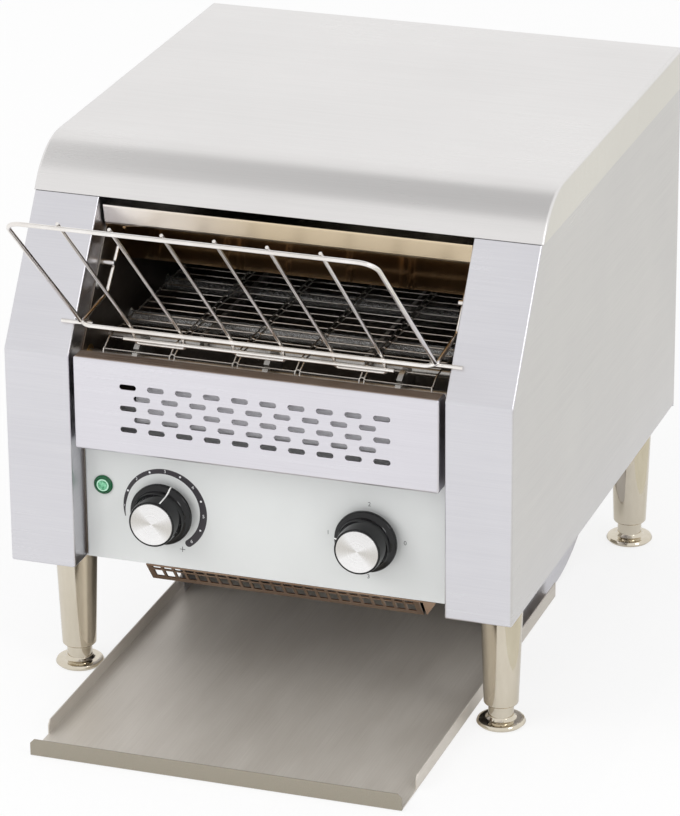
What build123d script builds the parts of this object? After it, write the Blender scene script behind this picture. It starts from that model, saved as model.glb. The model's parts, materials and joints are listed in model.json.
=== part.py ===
from build123d import *
from math import atan, cos, degrees, pi, radians, sin, tan
import os

os.makedirs("parts", exist_ok=True)

# Conveyor toaster, in millimetres. X runs to the right, Y to the rear, Z up. The origin lies on the
# table, under the middle of the whole machine from the rack's top to the cable gland. The front faces -Y.

# Casing
body_width = 368.0
body_depth = 420.0
body_height = 385.0
leg_height = 102.0
sheet = 1.2
fit = 0.3
play = 0.05
column_width = 49.0
column_return = 27.0
slope_foot = 261.0
slope_run = 64.0
cover_drop = 30.0
cover_nose = 9.0
flange = 15.0
base_overlap = 10.0

# Screws
screw_r = 1.75
screw_head_r = 3.4
screw_head = 1.8
cover_screw_inset = 32.8
wall_screw_low = 10.0
wall_screw_high = 34.0
base_screw_inset = 90.0

# Rear panel
vent_length = 28.0
vent_height = 4.0
vent_pitch = 10.0
vent_rows = 8
vent_inset = 28.8
vent_z = 240.0
top_vent_pitch = 60.0
cable_inset = 30.8
cable_z = 150.0
gland_r = 7.0
gland_nut_r = 10.0
gland_nut = 5.0
gland_bore_r = 3.6

# Control panel
panel_recess = 20.0
panel_gap = 1.5
panel_overlap = 30.0
box_depth = 50.0
knob_inset = 58.8
knob_z = 145.8
knob_skirt_r = 22.5
knob_skirt = 9.5
knob_grip_r = 18.0
knob_top_r = 16.6
knob_length = 26.4
knob_edge = 2.0
knob_cap_r = 15.45
knob_cap = 1.2
knob_lift = 6.0
spindle_r = 3.0
spindle_in_knob = 18.0
spindle_behind = 10.0
potentiometer_r = 12.5
potentiometer_depth = 12.0
switch_size = 28.0
switch_depth = 34.0
lamp_inset = 13.5
lamp_z = 159.5
lamp_r = 7.0
lamp_flange = 2.0
lamp_barrel_r = 5.9
lamp_lens_r = 5.2
lamp_lens = 4.0
lamp_depth = 22.0

# Perforated front cover
cover_proud = 1.5
front_cover_bottom = 194.0
front_cover_top = 262.0
front_cover_gap = 3.5
front_cover_return = 34.0
front_cover_lip = 13.0
slot_length = 12.0
slot_height = 3.7
slot_pitch = 20.3
slot_row_pitch = 7.85
slot_margin = 28.0
slot_rows = 5
shield_standoff = 5.0
shield_post_r = 3.0
shield_post_share = 0.7
shield_left_inset = 43.6
shield_right_inset = 3.5
shield_bottom = 216.5
shield_post_z = 253.0

# Belt and its shafts
belt_top = 265.0
belt_pitch = 12.0
belt_teeth = 8
belt_room = 120.0
belt_wire_r = 1.1
belt_link_r = 0.9
belt_side_gap = 16.0
belt_inner_link = 24.0
belt_middle_link = 70.0
belt_end = 1.0
front_shaft_inset = 36.0
shaft_r = 5.0
wheel_inset = 40.0
wheel_width = 4.0
wheel_tip = 2.2
bush_r = 8.0
bush_flange_r = 8.9
bush_flange = 3.0
shaft_end = 4.0
rail_x = 60.0
rail_width = 3.0
rail_inset = 24.0
rail_bar_r = 3.0
rail_bar_inset = 12.0

# Drive
chain_pitch = 8.0
chain_teeth = 12
chain_straight = 13
chain_roller_r = 2.5
chain_roller_width = 3.2
chain_plate = 0.8
chain_plate_r = 3.2
chain_tip = 0.6
chain_stand = 6.0
motor_stand = 12.0
motor_bracket = 1.5
motor_bracket_size = 78.0
motor_post_r = 4.0
motor_r = 28.0
motor_can_r = 24.0
motor_gearbox = 16.0
motor_shaft_r = 3.5
motor_shaft_depth = 12.0

# Heating
tube_r = 5.0
tube_wall = 1.0
coil_r = 2.2
tube_cap_r = 8.0
tube_cap = 12.0
tube_cap_depth = 8.0
tube_hole_r = 6.5
upper_tube_z = 313.0
upper_tube_front_gap = 104.0
upper_tube_rear_gap = 36.0
lower_tube_gap = 78.0
tubes_in_row = 3

# Entry and reflectors
baffle_top = 350.0
baffle_strip = 16.0
baffle_inset = 66.0
baffle_lean = 3.0
baffle_flange = 14.0
entry_height = 33.0
entry_inset = 100.0
upper_reflector_z = 331.0
lower_reflector_z = 239.0
reflector_flange = 8.0

# Chute
chute_side_gap = 6.0
chute_radius = 145.0
chute_turn = 63.36
chute_lip = 15.0
chute_clearance = 0.8
chute_top = 150.0
chute_hole_gap = 18.0
cheek_top_run = 138.0
cheek_bottom_run = 96.0

# Collecting tray
tray_side_gap = 0.5
tray_sheet = 1.0
tray_floor = 0.5
tray_reach = 91.0
tray_rear_gap = 2.0
tray_lip = 12.7
tray_wall = 11.5
tray_wall_gap = 32.0
tray_corner = 3.0

# Lower guard strip
guard_left_inset = 43.5
guard_right_inset = 23.5
guard_lean = 12.5
guard_drop = 15.5
guard_flange = 28.0
guard_hole = 6.0
guard_hole_length = 9.5
guard_pitch = 8.05
guard_web = 1.6
guard_edge = 4.4
guard_side = 3.3
guard_lug = 9.0
guard_lug_gap = 3.0

# Bread rack
rack_side_gap = 8.0
rack_wire_r = 1.55
rack_bar_r = 1.2
rack_top_reach = 118.7
rack_top_z = 400.0
rack_foot_inset = 3.0
rack_foot_z = 284.0
rack_foot_rise = 2.6
rack_corner_r = 12.0
rack_foot_corner_r = 8.0
rack_knee_inset = 53.0
rack_knee_z = 289.0
rack_end_inset = 76.0
rack_end_z = 315.0
rack_bar_margin = 37.0
rack_pairs = 3
rack_tip = 1.0
rack_heel_lean = 30.0
rack_heel_drop = 16.9
rack_heel_place = 10.3
rack_heel_r = 1.3
rack_heel_end = 7.0
pivot_r = 1.5
pivot_inner_end = 6.0
pivot_outer_end = 9.0
stop_pin_r = 2.0
stop_pin_reach = 9.0
stop_pin_share = 0.6

# Legs and feet
leg_side_inset = 26.0
leg_front_inset = 58.0
leg_rear_inset = 31.0
leg_top_r = 15.5
leg_bottom_r = 12.25
leg_bottom = 16.0
leg_edge = 1.0
leg_stud_r = 4.0
leg_stud = 14.0
leg_bore = 40.0
leg_nut_r = 7.0
leg_nut = 6.5
foot_r = 17.5
foot_height = 5.0
foot_edge = 2.0
foot_neck_r = 9.0
foot_thread = 30.0

# Electrical parts
terminal_size = (24.0, 50.0, 18.0)
terminal_inset = 80.0
board_size = (70.0, 50.0)
board_thickness = 1.6
board_inset = 150.0
board_z = 160.0
board_stand = 10.0
board_post_r = 3.0

# Derived places
side_x = body_width / 2 - sheet
middle_y = (rack_top_reach + rack_wire_r + sheet - 2 * gland_nut) / 2
front_y = middle_y - body_depth / 2
rear_y = middle_y + body_depth / 2
body_rear = rear_y - sheet
cover_edge = body_height - cover_drop
column_top = cover_edge - fit
slope = atan((cover_edge - slope_foot) / slope_run)
column_x = body_width / 2 - column_width
wall_x = column_x - sheet
wall_inset = panel_recess + sheet + fit
base_z = leg_height + sheet
base_top = base_z + sheet
screw_hole_r = screw_r + play
screw_cut = 5 * sheet

vent_x = side_x - vent_inset
cable_x = cable_inset - side_x
leg_x = body_width / 2 - leg_side_inset
leg_front_y = front_y + leg_front_inset
leg_rear_y = rear_y - leg_rear_inset
terminal_y = rear_y - terminal_inset
board_y = front_y + board_inset

panel_y = front_y + panel_recess
panel_back = panel_y + sheet
panel_half_width = column_x - panel_gap
panel_bottom = base_z + fit
panel_top = front_cover_bottom + panel_overlap
knob_x = panel_half_width - knob_inset
lamp_x = lamp_inset - panel_half_width
guard_y = panel_y + fit
guard_left = guard_left_inset - panel_half_width
guard_right = panel_half_width - guard_right_inset
guard_holes = int((guard_right - guard_left - 2 * guard_side) / guard_pitch)
guard_row_pitch = guard_hole_length + guard_web

front_cover_y = front_y - cover_proud
front_cover_half = column_x - front_cover_gap
slots_in_row = int((2 * (front_cover_half - slot_margin) + slot_pitch - slot_length) / slot_pitch)
shield_left = front_cover_half - shield_left_inset
shield_right = front_cover_half - shield_right_inset

belt_half_width = column_x - belt_side_gap
belt_link_places = (belt_inner_link, belt_middle_link, belt_half_width - belt_end)
belt_straight = int((body_depth - belt_room) / belt_pitch)
belt_r = belt_pitch / 2 / sin(pi / belt_teeth)
wheel_x = column_x - wheel_inset
shaft_z = belt_top - belt_wire_r - belt_r
front_shaft_y = front_y + front_shaft_inset
rear_shaft_y = front_shaft_y + belt_straight * belt_pitch
chain_r = chain_pitch / 2 / sin(pi / chain_teeth)
chain_x = column_x + chain_stand
motor_z = shaft_z - chain_straight * chain_pitch
bracket_x = column_x + motor_stand
motor_x = bracket_x + motor_bracket

upper_tube_front = front_shaft_y + upper_tube_front_gap
upper_tube_pitch = (rear_shaft_y - upper_tube_rear_gap - upper_tube_front) / (tubes_in_row - 1)
lower_tube_front = front_shaft_y + lower_tube_gap
lower_tube_pitch = (rear_shaft_y - lower_tube_gap - lower_tube_front) / (tubes_in_row - 1)
baffle_top_y = front_y + baffle_inset
entry_y = front_y + entry_inset
slot_roof = belt_top + entry_height

chute_half_width = column_x - chute_side_gap
chute_back = body_rear - sheet
chute_z = chute_clearance + chute_radius
chute_tangent_y = chute_back - chute_radius * sin(radians(chute_turn))
chute_bend_z = chute_z - chute_radius * cos(radians(chute_turn))
chute_lip_y = chute_tangent_y - chute_lip
chute_hole_y = chute_tangent_y - chute_hole_gap
cheek_top_y = chute_tangent_y - cheek_top_run
cheek_bottom_y = chute_tangent_y - cheek_bottom_run
tray_half_width = column_x - tray_side_gap
tray_front_y = front_y - tray_reach
tray_rear_y = chute_lip_y - tray_rear_gap

rack_half_width = column_x - rack_side_gap
rack_bar_pitch = 2 * (rack_half_width - rack_bar_margin) / (2 * rack_pairs - 1)
rack_heel_half = rack_half_width - rack_bar_margin + rack_heel_end
rack_top_y = front_y - rack_top_reach
rack_foot_y = front_y + rack_foot_inset
rack_knee_y = front_y + rack_knee_inset
rack_end_y = front_y + rack_end_inset
pivot_inner = rack_half_width - pivot_inner_end
pivot_outer = column_x + pivot_outer_end


def finish_piece(builder, name):
    """Label one finished piece and write its file."""
    builder.part.label = name
    export_step(builder.part, f"parts/{name}.step")


def low_side(side, inner, outer):
    """Lower X of a slab between inner and outer on the given side of the middle."""
    return inner if side > 0 else -outer


def front_edge(inset, bottom, top):
    """Front line of the casing in side view, moved inwards by inset, as (y, z) points."""
    corner_z = slope_foot - inset * (1 - sin(slope)) / cos(slope)
    top_y = front_y + inset * sin(slope) + (top - slope_foot + inset * cos(slope)) / tan(slope)
    return [(front_y + inset, bottom), (front_y + inset, corner_z), (top_y, top)]


def front_strip(outer, inner, bottom, top):
    """Strip that follows the casing's front line between two insets."""
    with BuildSketch() as strip:
        with BuildLine():
            Polyline(*front_edge(outer, bottom, top), *reversed(front_edge(inner, bottom, top)), close=True)
        make_face()
    return strip.sketch_local


def casing_outline(inset):
    """Whole side view of the casing with the rounded shoulder, moved inwards by inset."""
    rise = cover_drop - cover_nose * sin(slope)
    bend_r = rise / (1 - cos(slope))
    nose_y = front_y + slope_run + cover_nose * cos(slope)
    bend_y = nose_y + bend_r * sin(slope)
    with BuildSketch() as outline:
        with BuildLine():
            CenterArc((bend_y, body_height - bend_r), bend_r, 90, degrees(slope))
            Polyline(
                (nose_y, body_height - rise),
                (front_y, slope_foot),
                (front_y, leg_height),
                (rear_y, leg_height),
                (rear_y, body_height),
                (bend_y, body_height),
            )
        make_face()
        if inset > 0:
            offset(amount=-inset, kind=Kind.INTERSECTION)
    return outline.sketch_local


def loop_places(teeth, straight, pitch):
    """Joints (along, up, angle) of a loop that runs over two equal wheels."""
    radius = pitch / 2 / sin(pi / teeth)
    turns = [2 * pi * k / teeth for k in range(teeth // 2)]
    half = degrees(pi / teeth)
    places = [(k * pitch, radius, 0) for k in range(straight)]
    places += [(straight * pitch + radius * sin(t), radius * cos(t), -degrees(t) - half) for t in turns]
    places += [((straight - k) * pitch, -radius, 180) for k in range(straight)]
    places += [(-radius * sin(t), -radius * cos(t), 180 - degrees(t) - half) for t in turns]
    return places


def toothed_wheel(teeth, radius, notch_r, tip, bore, width):
    """Wheel on the X axis, centred on the origin, with round notches on its pitch circle."""
    with BuildPart() as wheel:
        with BuildSketch(Plane.YZ.offset(-width / 2)):
            Circle(radius + tip)
            with PolarLocations(radius, teeth):
                Circle(notch_r, mode=Mode.SUBTRACT)
            with PolarLocations(radius + tip, teeth):
                Rectangle(2 * tip, 2 * notch_r, mode=Mode.SUBTRACT)
            Circle(bore, mode=Mode.SUBTRACT)
        extrude(amount=width)
    return wheel.part


def screw_group(places, grip):
    """Pan-head screws: each head sits on its place, and the shank goes grip deep behind it."""
    with BuildPart() as screw:
        with BuildSketch(Plane.XZ):
            with BuildLine():
                Polyline((0, screw_head), (0, -grip), (screw_r, -grip), (screw_r, 0), (screw_head_r, 0))
                Line((screw_head_r, 0), (screw_head_r, screw_head / 2))
                Line((screw_head_r, screw_head / 2), (screw_head_r - screw_head / 2, screw_head))
                Line((screw_head_r - screw_head / 2, screw_head), (0, screw_head))
            make_face()
        revolve(axis=Axis.Z)
    with BuildPart() as group:
        with Locations(*places):
            add(screw.part)
    return group


def turned(points):
    """Solid of revolution about Z from its half profile, given as (radius, z) points."""
    with BuildPart() as piece:
        with BuildSketch(Plane.XZ):
            with BuildLine():
                Polyline(*points, close=True)
            make_face()
        revolve(axis=Axis.Z)
    return piece.part


def sheet_fold(points, half_width):
    """Sheet bent along (y, z) points, one sheet thick to the left of the line, across the machine."""
    with BuildPart() as folded:
        with BuildSketch(Plane.YZ.offset(-half_width)):
            with BuildLine():
                Polyline(*points)
                offset(amount=sheet, side=Side.LEFT)
            make_face()
        extrude(amount=2 * half_width)
    return folded.part


def across(radius, inner_radius, half_length, places):
    """Round pieces across the machine, centred on the middle, at (y, z) places."""
    with BuildPart() as pieces:
        with BuildSketch(Plane.YZ.offset(-half_length)):
            with Locations(*places):
                Circle(radius)
                if inner_radius:
                    Circle(inner_radius, mode=Mode.SUBTRACT)
        extrude(amount=2 * half_length)
    return pieces


def link_plates(inner, outer):
    """Two oval plates of one chain link, between the distances inner and outer from its middle."""
    with BuildPart() as plates:
        for side in (-1, 1):
            with BuildSketch(Plane.YZ.offset(low_side(side, inner, outer))):
                with Locations((chain_pitch / 2, 0)):
                    SlotCenterToCenter(chain_pitch, 2 * chain_plate_r)
            extrude(amount=outer - inner)
    return plates.part


def wire(points, radius, bend):
    """Round wire along points, with the same bend at each corner."""
    with BuildPart() as bent:
        with BuildLine() as path:
            FilletPolyline(*points, radius=bend)
        with BuildSketch(Plane(origin=path.line @ 0, z_dir=path.line % 0)):
            Circle(radius)
        sweep()
    return bent


# Places of the fasteners, each with its local Z axis pointing out of the head
to_rear = (-90, 0, 0)
cover_screw_z = cover_edge + cover_drop / 2
cover_screw_pitch = side_x - cover_screw_inset
cover_screws = [Location((k * cover_screw_pitch, rear_y, cover_screw_z), to_rear) for k in (-1, 0, 1)]
rear_screws = [
    Location((side * (side_x - flange / 2), body_rear, z), to_rear)
    for side in (-1, 1)
    for z in (leg_height + 2 * flange, (leg_height + cover_edge) / 2, cover_edge - 2 * flange)
]
wall_screw_inset = (wall_inset + column_return) / 2
wall_screws = [
    Location((side * wall_x, *front_edge(wall_screw_inset, leg_height, top)[2]), (0, -side * 90, 0))
    for side in (-1, 1)
    for top in (slope_foot + wall_screw_low, slope_foot + wall_screw_high)
]
base_screw_pitch = body_depth / 2 - base_screw_inset
base_screws = [
    Location((side * (column_x + base_overlap / 2), middle_y + k * base_screw_pitch, leg_height), (180, 0, 0))
    for side in (-1, 1)
    for k in (-1, 0, 1)
]

# Places in the chamber walls
upper_tubes = [(upper_tube_front + k * upper_tube_pitch, upper_tube_z) for k in range(tubes_in_row)]
lower_tubes = [(lower_tube_front + k * lower_tube_pitch, shaft_z) for k in range(tubes_in_row)]
shaft_places = [(front_shaft_y, shaft_z), (rear_shaft_y, shaft_z)]
rack_end_run = Edge.make_line((rack_knee_y, rack_knee_z), (rack_end_y, rack_end_z))
stop_base = rack_end_run @ stop_pin_share
stop_lift = rack_wire_r + stop_pin_r + fit
stop_place = (
    stop_base.X - stop_lift * (rack_end_z - rack_knee_z) / rack_end_run.length,
    stop_base.Y + stop_lift * (rack_end_y - rack_knee_y) / rack_end_run.length,
)
cover_side_screw = (
    front_cover_y + front_cover_return - 2 * sheet - screw_r,
    panel_top + sheet + 2 * screw_head_r,
)


# Top cover: one sheet with side and rear flanges, rounded down over the front.
with BuildPart() as top_cover:
    with BuildSketch(Plane.YZ.offset(-body_width / 2)):
        add(casing_outline(0))
        with Locations((0, (leg_height + cover_edge) / 2)):
            Rectangle(2 * body_depth, cover_edge - leg_height, mode=Mode.SUBTRACT)
    extrude(amount=body_width)
    with BuildSketch(Plane.YZ.offset(-side_x)):
        add(casing_outline(sheet))
    extrude(amount=2 * side_x, mode=Mode.SUBTRACT)
    with Locations(*cover_screws):
        Cylinder(screw_hole_r, screw_cut, mode=Mode.SUBTRACT)
finish_piece(top_cover, "top_cover")


# Side panels: each is folded from one sheet into the side wall, the front column with its
# leaning face, the inner return, the rear flange and the closed bottom.
for side, name in ((-1, "left_side_panel"), (1, "right_side_panel")):
    with BuildPart() as side_panel:
        with BuildSketch(Plane.YZ.offset(low_side(side, side_x - sheet, side_x))):
            add(casing_outline(sheet))
            with BuildLine():
                Polyline(
                    *front_edge(0, leg_height, column_top),
                    (body_rear, column_top),
                    (body_rear, leg_height),
                    close=True,
                )
            make_face()
        extrude(amount=sheet)
        with BuildSketch(Plane.YZ.offset(low_side(side, column_x, side_x))):
            add(front_strip(0, sheet, leg_height, column_top))
        extrude(amount=side_x - column_x)
        with BuildSketch(Plane.YZ.offset(low_side(side, column_x, column_x + sheet))):
            add(front_strip(0, column_return, leg_height, column_top))
        extrude(amount=sheet)
        with BuildSketch(Plane.XY.offset(leg_height)):
            with Locations((side * (side_x + column_x) / 2, (front_y + chute_back) / 2)):
                Rectangle(side_x - column_x, chute_back - front_y)
            with Locations((side * leg_x, leg_front_y), (side * leg_x, leg_rear_y)):
                Circle(leg_stud_r + play, mode=Mode.SUBTRACT)
        extrude(amount=sheet)
        with BuildSketch(Plane.XY.offset(leg_height)):
            with Locations((side * (side_x - flange / 2), body_rear - 1.5 * sheet)):
                Rectangle(flange, sheet)
        extrude(amount=cover_edge - leg_height)
        with Locations(*rear_screws, *wall_screws, *base_screws):
            Cylinder(screw_hole_r, screw_cut, mode=Mode.SUBTRACT)
    finish_piece(side_panel, name)


# Rear panel: closes the back between the side panels, with ventilation slots and a cable hole.
with BuildPart() as rear_panel:
    with BuildSketch(Plane.XZ.offset(-body_rear)):
        with Locations((0, (leg_height + body_height - sheet) / 2)):
            Rectangle(2 * (side_x - sheet), body_height - sheet - leg_height)
        with Locations((-vent_x, vent_z), (vent_x, vent_z)):
            with GridLocations(vent_length, vent_pitch, 1, vent_rows):
                SlotOverall(vent_length, vent_height, mode=Mode.SUBTRACT)
        with Locations((0, upper_tube_z)):
            with GridLocations(top_vent_pitch, vent_pitch, 3, 3):
                SlotOverall(vent_length, vent_height, mode=Mode.SUBTRACT)
        with Locations((cable_x, cable_z)):
            Circle(gland_r + play, mode=Mode.SUBTRACT)
    extrude(amount=sheet)
    with Locations(*rear_screws, *cover_screws):
        Cylinder(screw_hole_r, screw_cut, mode=Mode.SUBTRACT)
finish_piece(rear_panel, "rear_panel")


# Base plate: lies on the side panels' closed bottoms and is open over the chute.
base_front = front_y + column_return + fit
with BuildPart() as base_plate:
    with BuildSketch(Plane.XY.offset(base_z)):
        with Locations((0, (base_front + chute_back) / 2)):
            Rectangle(2 * (column_x + base_overlap), chute_back - base_front)
        with Locations((0, (panel_back + base_front) / 2)):
            Rectangle(2 * (column_x - fit), base_front - panel_back)
        with Locations((0, (chute_hole_y + rear_y) / 2)):
            Rectangle(2 * chute_half_width, rear_y - chute_hole_y, mode=Mode.SUBTRACT)
    extrude(amount=sheet)
    with Locations(*base_screws):
        Cylinder(screw_hole_r, screw_cut, mode=Mode.SUBTRACT)
finish_piece(base_plate, "base_plate")


# Chamber walls: the two inner walls that carry the shafts, the heating tubes and the reflectors.
for side, name in ((-1, "left_chamber_wall"), (1, "right_chamber_wall")):
    with BuildPart() as chamber_wall:
        with BuildSketch(Plane.YZ.offset(low_side(side, wall_x, column_x))):
            with BuildLine():
                Polyline(
                    *front_edge(wall_inset, base_top, baffle_top),
                    (chute_back, baffle_top),
                    (chute_back, base_top),
                    close=True,
                )
            make_face()
            with Locations(*shaft_places):
                Circle(bush_r + play, mode=Mode.SUBTRACT)
            with Locations(*upper_tubes, *lower_tubes):
                Circle(tube_hole_r, mode=Mode.SUBTRACT)
            with Locations(stop_place):
                Circle(stop_pin_r + play, mode=Mode.SUBTRACT)
            with Locations(cover_side_screw):
                Circle(screw_hole_r, mode=Mode.SUBTRACT)
        extrude(amount=sheet)
        with Locations(*wall_screws):
            Cylinder(screw_hole_r, screw_cut, mode=Mode.SUBTRACT)
    finish_piece(chamber_wall, name)


# Control panel: the recessed front plate with its holes, side flanges and a lower angle.
with BuildPart() as control_panel:
    with BuildSketch(Plane.XZ.offset(-panel_back)):
        with Locations((0, (panel_bottom + panel_top) / 2)):
            Rectangle(2 * panel_half_width, panel_top - panel_bottom)
        with Locations((-knob_x, knob_z), (knob_x, knob_z)):
            Circle(spindle_r + 2 * fit, mode=Mode.SUBTRACT)
        with Locations((lamp_x, lamp_z)):
            Circle(lamp_barrel_r + play, mode=Mode.SUBTRACT)
    extrude(amount=sheet)
    with BuildSketch(Plane.XY.offset(base_top)):
        with Locations((0, panel_back + flange / 2)):
            Rectangle(2 * panel_half_width, flange)
    extrude(amount=sheet)
    with BuildSketch(Plane.XY.offset(base_top)):
        for side in (-1, 1):
            with Locations((side * (panel_half_width - sheet / 2), panel_back + flange / 2)):
                Rectangle(sheet, flange)
    extrude(amount=panel_top - base_top)
finish_piece(control_panel, "control_panel")


# Control box shield: keeps the heat of the chamber off the switches.
box_y = panel_back + box_depth
with BuildPart() as control_box_shield:
    with BuildSketch(Plane.YZ.offset(-wall_x)):
        with Locations(((panel_y + box_y) / 2, panel_top + sheet / 2)):
            Rectangle(box_y - panel_y, sheet)
        with Locations((box_y - sheet / 2, (base_top + panel_top) / 2)):
            Rectangle(sheet, panel_top - base_top)
    extrude(amount=2 * wall_x)
finish_piece(control_box_shield, "control_box_shield")


# Perforated front cover: stands in front of the belt's turn, with folded sides, lip and foot.
slot_middle = (front_cover_bottom + front_cover_top) / 2
slot_rows_z = [slot_middle + (k - (slot_rows - 1) / 2) * slot_row_pitch for k in range(slot_rows)]
with BuildPart() as front_cover:
    with BuildSketch(Plane.XZ.offset(-front_cover_y - sheet)):
        with Locations((0, slot_middle)):
            Rectangle(2 * front_cover_half, front_cover_top - front_cover_bottom)
        for row, row_z in enumerate(slot_rows_z):
            with Locations((0, row_z)):
                with GridLocations(slot_pitch, slot_row_pitch, slots_in_row - row % 2, 1):
                    SlotOverall(slot_length, slot_height, mode=Mode.SUBTRACT)
    extrude(amount=sheet)
    with BuildSketch(Plane.XY.offset(front_cover_top - sheet)):
        with Locations((0, front_cover_y + front_cover_lip / 2)):
            Rectangle(2 * front_cover_half, front_cover_lip)
    extrude(amount=sheet)
    with BuildSketch(Plane.XY.offset(front_cover_bottom)):
        with Locations((0, (front_cover_y + panel_y) / 2)):
            Rectangle(2 * front_cover_half, panel_y - front_cover_y)
    extrude(amount=sheet)
    for side in (-1, 1):
        with BuildSketch(Plane.YZ.offset(low_side(side, front_cover_half - sheet, front_cover_half))):
            with BuildLine():
                Polyline(
                    (front_cover_y, front_cover_bottom),
                    (panel_y, front_cover_bottom),
                    (panel_y, panel_top + sheet + fit),
                    (front_cover_y + front_cover_return, panel_top + sheet + fit),
                    (front_cover_y + front_cover_return, cover_side_screw[1] + screw_head_r + sheet),
                    (front_cover_y + front_cover_lip, front_cover_top),
                    (front_cover_y, front_cover_top),
                    close=True,
                )
            make_face()
            with Locations(cover_side_screw):
                Circle(screw_hole_r, mode=Mode.SUBTRACT)
        extrude(amount=sheet)
finish_piece(front_cover, "front_cover")


# Inner heat shield: a plate on two posts behind the perforated cover.
shield_y = front_cover_y + sheet + shield_standoff
shield_top = front_cover_top - 2 * sheet
shield_posts = [(x * shield_post_share, shield_post_z) for x in (-shield_left, shield_right)]
with BuildPart() as inner_heat_shield:
    with BuildSketch(Plane.XZ.offset(-shield_y - sheet)):
        with Locations(((shield_right - shield_left) / 2, (shield_bottom + shield_top) / 2)):
            Rectangle(shield_right + shield_left, shield_top - shield_bottom)
    extrude(amount=sheet)
    with BuildSketch(Plane.XZ.offset(-shield_y)):
        with Locations(*shield_posts):
            Circle(shield_post_r)
    extrude(amount=shield_standoff)
finish_piece(inner_heat_shield, "inner_heat_shield")


# Entry baffle: a bright strip over the bread entry that leans back into the chamber.
with BuildPart() as entry_baffle:
    add(
        sheet_fold(
            [
                (baffle_top_y + baffle_flange, baffle_top - sheet),
                (baffle_top_y, baffle_top - sheet),
                (baffle_top_y + baffle_lean, baffle_top - baffle_strip),
                (entry_y, slot_roof),
                (entry_y + reflector_flange, slot_roof),
            ],
            wall_x - fit,
        )
    )
finish_piece(entry_baffle, "entry_baffle")


# Reflectors: flat plates above the upper tubes and below the lower tubes, with folded sides.
for name, bottom, front, rear in (
    ("upper_reflector", upper_reflector_z, baffle_top_y + baffle_flange, rear_shaft_y + flange),
    ("lower_reflector", lower_reflector_z, front_shaft_y + rail_inset, rear_shaft_y - rail_inset),
):
    with BuildPart() as reflector:
        with BuildSketch(Plane.XY.offset(bottom)):
            with Locations((0, (front + rear) / 2)):
                Rectangle(2 * wall_x, rear - front)
        extrude(amount=sheet)
        with BuildSketch(Plane.XY.offset(bottom)):
            for side in (-1, 1):
                with Locations((side * (wall_x - sheet / 2), (front + rear) / 2)):
                    Rectangle(sheet, rear - front)
        extrude(amount=reflector_flange)
        with Locations(*[Location((0, y, z), (0, 90, 0)) for y, z in lower_tubes]):
            Cylinder(tube_hole_r, body_width, mode=Mode.SUBTRACT)
    finish_piece(reflector, name)


# Quartz heating tubes with their coils and ceramic end caps, above and inside the belt.
tube_half = column_x + tube_cap_depth - fit
tube_places = upper_tubes + lower_tubes
finish_piece(across(tube_r, tube_r - tube_wall, tube_half, tube_places), "quartz_tubes")
finish_piece(across(coil_r, 0, tube_half, tube_places), "heating_coils")
with BuildPart() as tube_caps:
    for side in (-1, 1):
        with BuildSketch(Plane.YZ.offset(low_side(side, column_x, column_x + tube_cap))):
            with Locations(*tube_places):
                Circle(tube_cap_r)
        extrude(amount=tube_cap)
        with BuildSketch(Plane.YZ.offset(low_side(side, column_x, column_x + tube_cap_depth))):
            with Locations(*tube_places):
                Circle(tube_r + play)
        extrude(amount=tube_cap_depth, mode=Mode.SUBTRACT)
finish_piece(tube_caps, "tube_caps")


# Wire belt: straight wires across, each with short links that reach back to the next wire.
link_length = belt_pitch - 2 * belt_wire_r - fit
with BuildPart() as belt_strand:
    with BuildSketch(Plane.YZ.offset(-belt_half_width - belt_link_r)):
        Circle(belt_wire_r)
    extrude(amount=2 * (belt_half_width + belt_link_r))
    with BuildSketch(Plane.XZ):
        for side in (-1, 1):
            with Locations(*[(side * x, 0) for x in belt_link_places]):
                Circle(belt_link_r)
    extrude(amount=-link_length - belt_wire_r)
belt_origin = Location((0, front_shaft_y, shaft_z))
with BuildPart() as wire_belt:
    for along, up, angle in loop_places(belt_teeth, belt_straight, belt_pitch):
        with Locations(belt_origin * Location((0, along, up), (angle, 0, 0))):
            add(belt_strand.part)
finish_piece(wire_belt, "wire_belt")


# Belt shafts with their wheels; the rear one is driven and reaches out to the chain.
belt_wheel = toothed_wheel(belt_teeth, belt_r, belt_wire_r + fit, wheel_tip, shaft_r + play, wheel_width)
shaft_reach = column_x + shaft_end
drive_reach = chain_x + chain_roller_width
for name, y, reach in (
    ("front_shaft", front_shaft_y, shaft_reach),
    ("drive_shaft", rear_shaft_y, drive_reach),
):
    with BuildPart() as shaft:
        with BuildSketch(Plane.YZ.offset(-shaft_reach)):
            with Locations((y, shaft_z)):
                Circle(shaft_r)
        extrude(amount=shaft_reach + reach)
        chamfer(shaft.edges().filter_by(GeomType.CIRCLE), belt_link_r)
    finish_piece(shaft, name)
    with BuildPart() as belt_wheels:
        with Locations(*[(k * wheel_x, y, shaft_z) for k in (-1, 0, 1)]):
            add(belt_wheel)
    finish_piece(belt_wheels, name.replace("shaft", "belt_wheels"))


# Shaft bushes: flanged bushes pressed into the chamber walls from outside.
with BuildPart() as shaft_bushes:
    for side in (-1, 1):
        with BuildSketch(Plane.YZ.offset(low_side(side, wall_x, column_x))):
            with Locations(*shaft_places):
                Circle(bush_r)
        extrude(amount=sheet)
        with BuildSketch(Plane.YZ.offset(low_side(side, column_x, column_x + bush_flange))):
            with Locations(*shaft_places):
                Circle(bush_flange_r)
        extrude(amount=bush_flange)
    with BuildSketch(Plane.YZ.offset(-side_x)):
        with Locations(*shaft_places):
            Circle(shaft_r + play)
    extrude(amount=2 * side_x, mode=Mode.SUBTRACT)
finish_piece(shaft_bushes, "shaft_bushes")


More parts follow.
